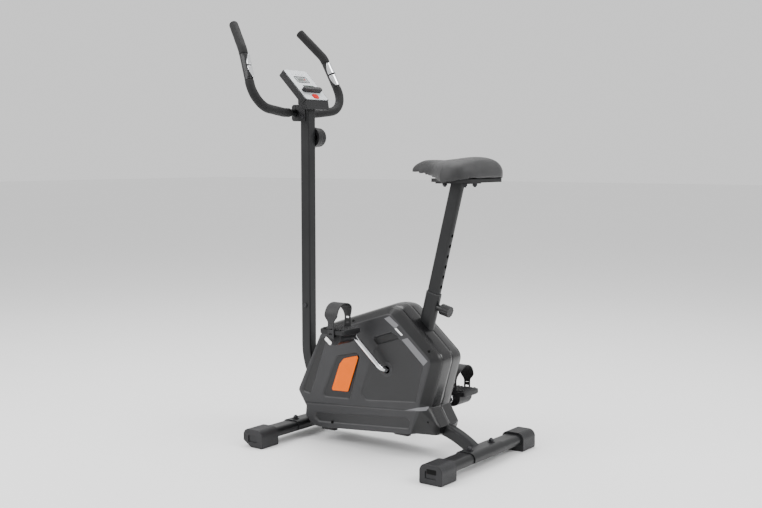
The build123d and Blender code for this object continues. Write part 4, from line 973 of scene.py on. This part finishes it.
def strap_piece(side, label):
    """A band along an arch: twice as wide over the foot, and raised there by ribs, a cosine across it."""
    centre_x, centre_z = pedal_centre(side)
    near = side * (pedal_inner + 6)
    far = side * (pedal_inner + pedal_wide + 2)
    high = centre_z + 93
    arch = [(near, centre_z + 12), (near, high), (far, high - 2), (far, centre_z - 6)]
    line = even(rounded(arch, [0, 36, 36, 0]), strap_rows)
    way = np.gradient(line, axis=0)
    way /= np.linalg.norm(way, axis=1)[:, None]
    outward = np.stack([-way[:, 1], way[:, 0]], axis=1) * -side
    share = np.linspace(0, 1, strap_rows)
    crown = smooth(share, 0.16, 0.36) * (1 - smooth(share, 0.70, 0.80))
    half_width = strap_narrow + strap_gain * crown
    across = np.linspace(-1, 1, strap_columns)
    ribs = rib_height * (1 - np.cos(across * math.pi * 6))[None, :] / 2 * crown[:, None]
    x = centre_x + half_width[:, None] * across[None, :]
    y = line[:, 0][:, None] + outward[:, 0][:, None] * ribs
    z = line[:, 1][:, None] + outward[:, 1][:, None] * ribs
    row, column = (part.ravel() for part in np.indices((strap_rows - 1, strap_columns - 1)))
    ladder = ((row < 30) | (row > 137)) & (row % 11 >= 3) & (row % 11 <= 6) & (column >= 9) & (column <= 30)
    piece = make_piece(f"{label}_foot_strap", place(np.stack([x, y, z], axis=2)),
                       grid_faces(strap_rows, strap_columns)[~ladder], "strap_rubber", f"{label}_pedal_set",
                       turn=False)
    thicken(piece, strap_wall)
    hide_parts(f"{label}_strap")


for side, label in sides:
    strap_piece(side, label)

# %% [markdown]
# ## Reflectors and treads
# Each pedal has a pale reflector at its outer end, under the strap, and rows of rubber blocks that stop a
# shoe slipping. Both are flattened boxes with soft edges, which a superellipsoid gives in one formula.

# %% Soft blocks


def soft_block(centre, half, power, count=24, rings=10):
    """Every coordinate is a half size times a power of the sines and cosines of two angles."""
    up = np.linspace(-math.pi / 2 + 0.02, math.pi / 2 - 0.02, rings)[:, None]
    round_way = np.linspace(0, 2 * math.pi, count, endpoint=False)[None, :]

    def bent(value):
        return np.sign(value) * np.abs(value) ** (2 / power)

    x = half[0] * bent(np.cos(up)) * bent(np.cos(round_way))
    y = half[1] * bent(np.cos(up)) * bent(np.sin(round_way))
    z = half[2] * bent(np.sin(up)) * np.ones_like(round_way)
    return np.stack([x + centre[0], y + centre[1], z + centre[2]], axis=2)


def turned(points, centre, degrees):
    """The points after a turn about a line through centre that runs across the bike."""
    angle = math.radians(degrees)
    x, z = points[..., 0] - centre[0], points[..., 2] - centre[2]
    return np.stack([centre[0] + x * math.cos(angle) + z * math.sin(angle), points[..., 1],
                     centre[2] - x * math.sin(angle) + z * math.cos(angle)], axis=-1)


def blocks_piece(name, blocks, slot_name, body, finish=None):
    """One piece from several closed blocks, each a grid with its two ends capped."""
    rings, count = blocks[0].shape[:2]
    faces, caps = [], []
    for index in range(len(blocks)):
        base = index * rings * count
        faces.append(grid_faces(rings, count, False, True) + base)
        caps.append([base + k for k in range(count - 1, -1, -1)])
        caps.append([base + (rings - 1) * count + k for k in range(count)])
    points = place(np.stack(blocks))
    flipped = signed_volume(points[0].reshape(-1, 3) - points[0].mean(axis=(0, 1)), faces[0]) < 0
    listed = np.vstack(faces)[:, ::-1] if flipped else np.vstack(faces)
    caps = [cap[::-1] for cap in caps] if flipped else caps
    piece = make_piece(name, points, listed, slot_name, body, caps=caps, turn=False)
    if finish:
        piece.data.materials[0] = finishes[finish]
    return piece


finishes["reflector"] = glossy_colour("pale_reflector", (0.85, 0.85, 0.84), 0.25)
reflector_lean = 37
tread_pitch_x, tread_pitch_y, tread_rise = 11.2, 11.6, 1.5
for side, label in sides:
    centre_x, centre_z = pedal_centre(side)
    pedal_body = f"{label}_pedal_set"
    at = (centre_x - 8, side * 205.2, centre_z - 12)
    leaning = turned(soft_block(at, (13, 1.0, 5.5), 7), at, reflector_lean)
    blocks_piece(f"{label}_reflector", [leaning], "silver_plastic", pedal_body, "reflector")
    tread = []
    for row in (-3, -2, -1, 0, 1, 2, 3):
        for column in range(6):
            lift = tread_rise * (abs(row) / 3) ** 2
            at = (centre_x + row * tread_pitch_x, side * (pedal_inner + 11 + column * tread_pitch_y),
                  centre_z + 19 + lift)
            tread.append(soft_block(at, (3.9, 4.4, 3.0), 4, 16, 8))
    blocks_piece(f"{label}_tread", tread, "strap_rubber", pedal_body)
    rails = [soft_block((centre_x + end * 37, side * (pedal_inner + 40), centre_z + 13), (6.0, 40, 9.0), 5,
                        32, 12) for end in (-1, 1)]
    blocks_piece(f"{label}_pedal_rails", rails, "pedal_plastic", pedal_body)

# %% [markdown]
# ## Painted shade in wells and recesses, and pads
# Four screws hold each half of the cover, at the bottom of small round wells, and each well holds a
# near-black blob of painted shade. The recess in each end of the rear end caps gets a dark patch of
# painted shade, and two rubber pads lie under each half of the cover.

# %% Painted shade in wells and recesses, and pads
finishes["well_shadow"] = glossy_colour("well_shadow", (0.002, 0.002, 0.002), 0.6)
wells = [(-397, 374, 62.5), (-132, 311.5, 62.5), (-469, 65.5, 74.3), (-136, 111, 59.5)]
pads = [(-493, 41, 26), (-226, 64, 26)]
for side, label in sides:
    # Each well gets a near-black blob: painted shade inside the well.
    well_shade_blocks = [soft_block((well_x, side * well_y, well_z), (4.2, 3.4, 4.2), 2)
                   for well_x, well_z, well_y in wells]
    blocks_piece(f"{label}_screw_well_shade", well_shade_blocks, "cover_plastic", "frame", "well_shadow")
    pad_blocks = [soft_block((pad_x, side * 56, pad_z), (pad_long, 9, 4.5), 6)
                  for pad_x, pad_z, pad_long in pads]
    blocks_piece(f"{label}_pads", pad_blocks, "strap_rubber", "frame")
    # A dark tablet in the recess at each end of the cap: painted shade in the recess.
    window = soft_block((3, side * 249.4, 35.5), (15.5, 0.9, 6.5), 9)
    blocks_piece(f"{label}_cap_recess_shade", [window], "cover_plastic", "frame", "well_shadow")

# %% [markdown]
# ## Marks on the console
# The face carries a dark frame round the display, a slot under it, a row of small lamps, and plain bars
# for the figures. They sit on a plane that leans back at 45 degrees, so a helper turns distances down
# and across the face into the frame.

# %% Console face
face_top = np.array([-671.0, 0.0, 1114.0])
face_down = np.array([math.sqrt(0.5), 0, -math.sqrt(0.5)])
face_out = np.array([math.sqrt(0.5), 0, math.sqrt(0.5)])
face_across = np.array([0, 1.0, 0])
mark_colours = {"dark_mark": (0.012, 0.012, 0.013), "grey_mark": (0.22, 0.22, 0.23),
                "green_mark": (0.03, 0.07, 0.045), "red_mark": (0.5, 0.02, 0.02)}
for mark_name, mark_colour in mark_colours.items():
    finishes[mark_name] = glossy_colour(mark_name, mark_colour, 0.4)


def face_mark(name, down, across, long, wide, raised, finish):
    """A soft-edged tablet whose thickness points out of the face, a stated way down it and across it."""
    local = soft_block((0, 0, 0), (long / 2, wide / 2, raised), 7)
    centre = face_top + face_down * down + face_across * across
    points = centre + local @ np.stack([face_down, face_across, face_out])
    blocks_piece(name, [points], "silver_plastic", "frame", finish)


for frame_end, down in (("top", 29.6), ("low", 54.4)):
    face_mark(f"display_frame_{frame_end}", down, -2, 2.6, 52, 0.8, "dark_mark")
for frame_end, across in (("left", -28.5), ("right", 24.5)):
    face_mark(f"display_frame_{frame_end}", 42, across, 26, 2.6, 0.8, "dark_mark")
face_mark("slot_frame", 71, 6, 7.5, 50, 0.7, "dark_mark")
face_mark("slot", 71, 6, 3.0, 40, 1.1, "green_mark")
for index, across in enumerate([-26, -12, 2, 16]):
    face_mark(f"lamp_{index}", 20, across, 1.4, 8.5, 0.25, "grey_mark")
for index, across in enumerate([-15, -9, -3, 3]):
    face_mark(f"figure_{index}", 42, across, 9, 1.4, 0.12, "dark_mark")
face_mark("display_mark", 41, 12, 4, 5, 0.3, "red_mark")

# %% [markdown]
# ## Floor, light and camera
# Goods like this are shown on white, under broad soft lights. Three large lamps, one on each side and one
# overhead, give the long pale edges on the tubes, and a white world fills the shadows.

# %% Studio
floor_mesh = bpy.data.meshes.new("floor")
floor_reach = 30
floor_corners = [(floor_reach * x, floor_reach * y, 0) for x, y in ((-1, -1), (1, -1), (1, 1), (-1, 1))]
floor_mesh.from_pydata(floor_corners, [], [(0, 1, 2, 3)])
floor = bpy.data.objects.new("floor", floor_mesh)
bpy.context.scene.collection.objects.link(floor)
floor_finish = Finish("studio_floor", (0.9, 0.9, 0.9), 0.6)
floor_cloud = floor_finish.blend(floor_finish.noise(0.6, 2), (0.89, 0.89, 0.89), (0.91, 0.91, 0.91))
floor_finish.set("Base Color", floor_cloud)
floor.data.materials.append(floor_finish.material)

world = bpy.data.worlds.new("studio")
world.use_nodes = True
sky = world.node_tree.nodes["Background"].inputs
sky["Color"].default_value = (1.0, 1.0, 1.0, 1.0)
sky["Strength"].default_value = 1.0
bpy.context.scene.world = world


def soft_lamp(name, place_at, aim, size, power):
    """A square lamp at one point, facing another."""
    lamp_data = bpy.data.lights.new(name, "AREA")
    lamp_data.size = size
    lamp_data.energy = power
    lamp = bpy.data.objects.new(name, lamp_data)
    direction = np.array(aim) - np.array(place_at)
    tip = math.atan2(math.hypot(direction[0], direction[1]), -direction[2])
    lamp.location = place_at
    lamp.rotation_euler = (tip, 0, math.atan2(direction[1], direction[0]) - math.pi / 2)
    bpy.context.scene.collection.objects.link(lamp)


soft_lamp("left_lamp", (-1.6, -2.6, 2.6), (0, 0, 0.6), 2.0, 110)
soft_lamp("right_lamp", (2.8, 0.4, 2.4), (0, 0, 0.5), 1.6, 80)
soft_lamp("top_lamp", (-0.4, 0.6, 3.4), (0, 0, 0.4), 2.4, 90)

camera_data = bpy.data.cameras.new("camera")
camera_data.sensor_width = 36.0
camera_data.lens = 52.2619
camera = bpy.data.objects.new("camera", camera_data)
camera.location = place([1566.78, -2590.23, 854.02])
camera.rotation_euler = (math.radians(90 - 5.07), 0, math.radians(36.41))
bpy.context.scene.collection.objects.link(camera)
bpy.context.scene.camera = camera
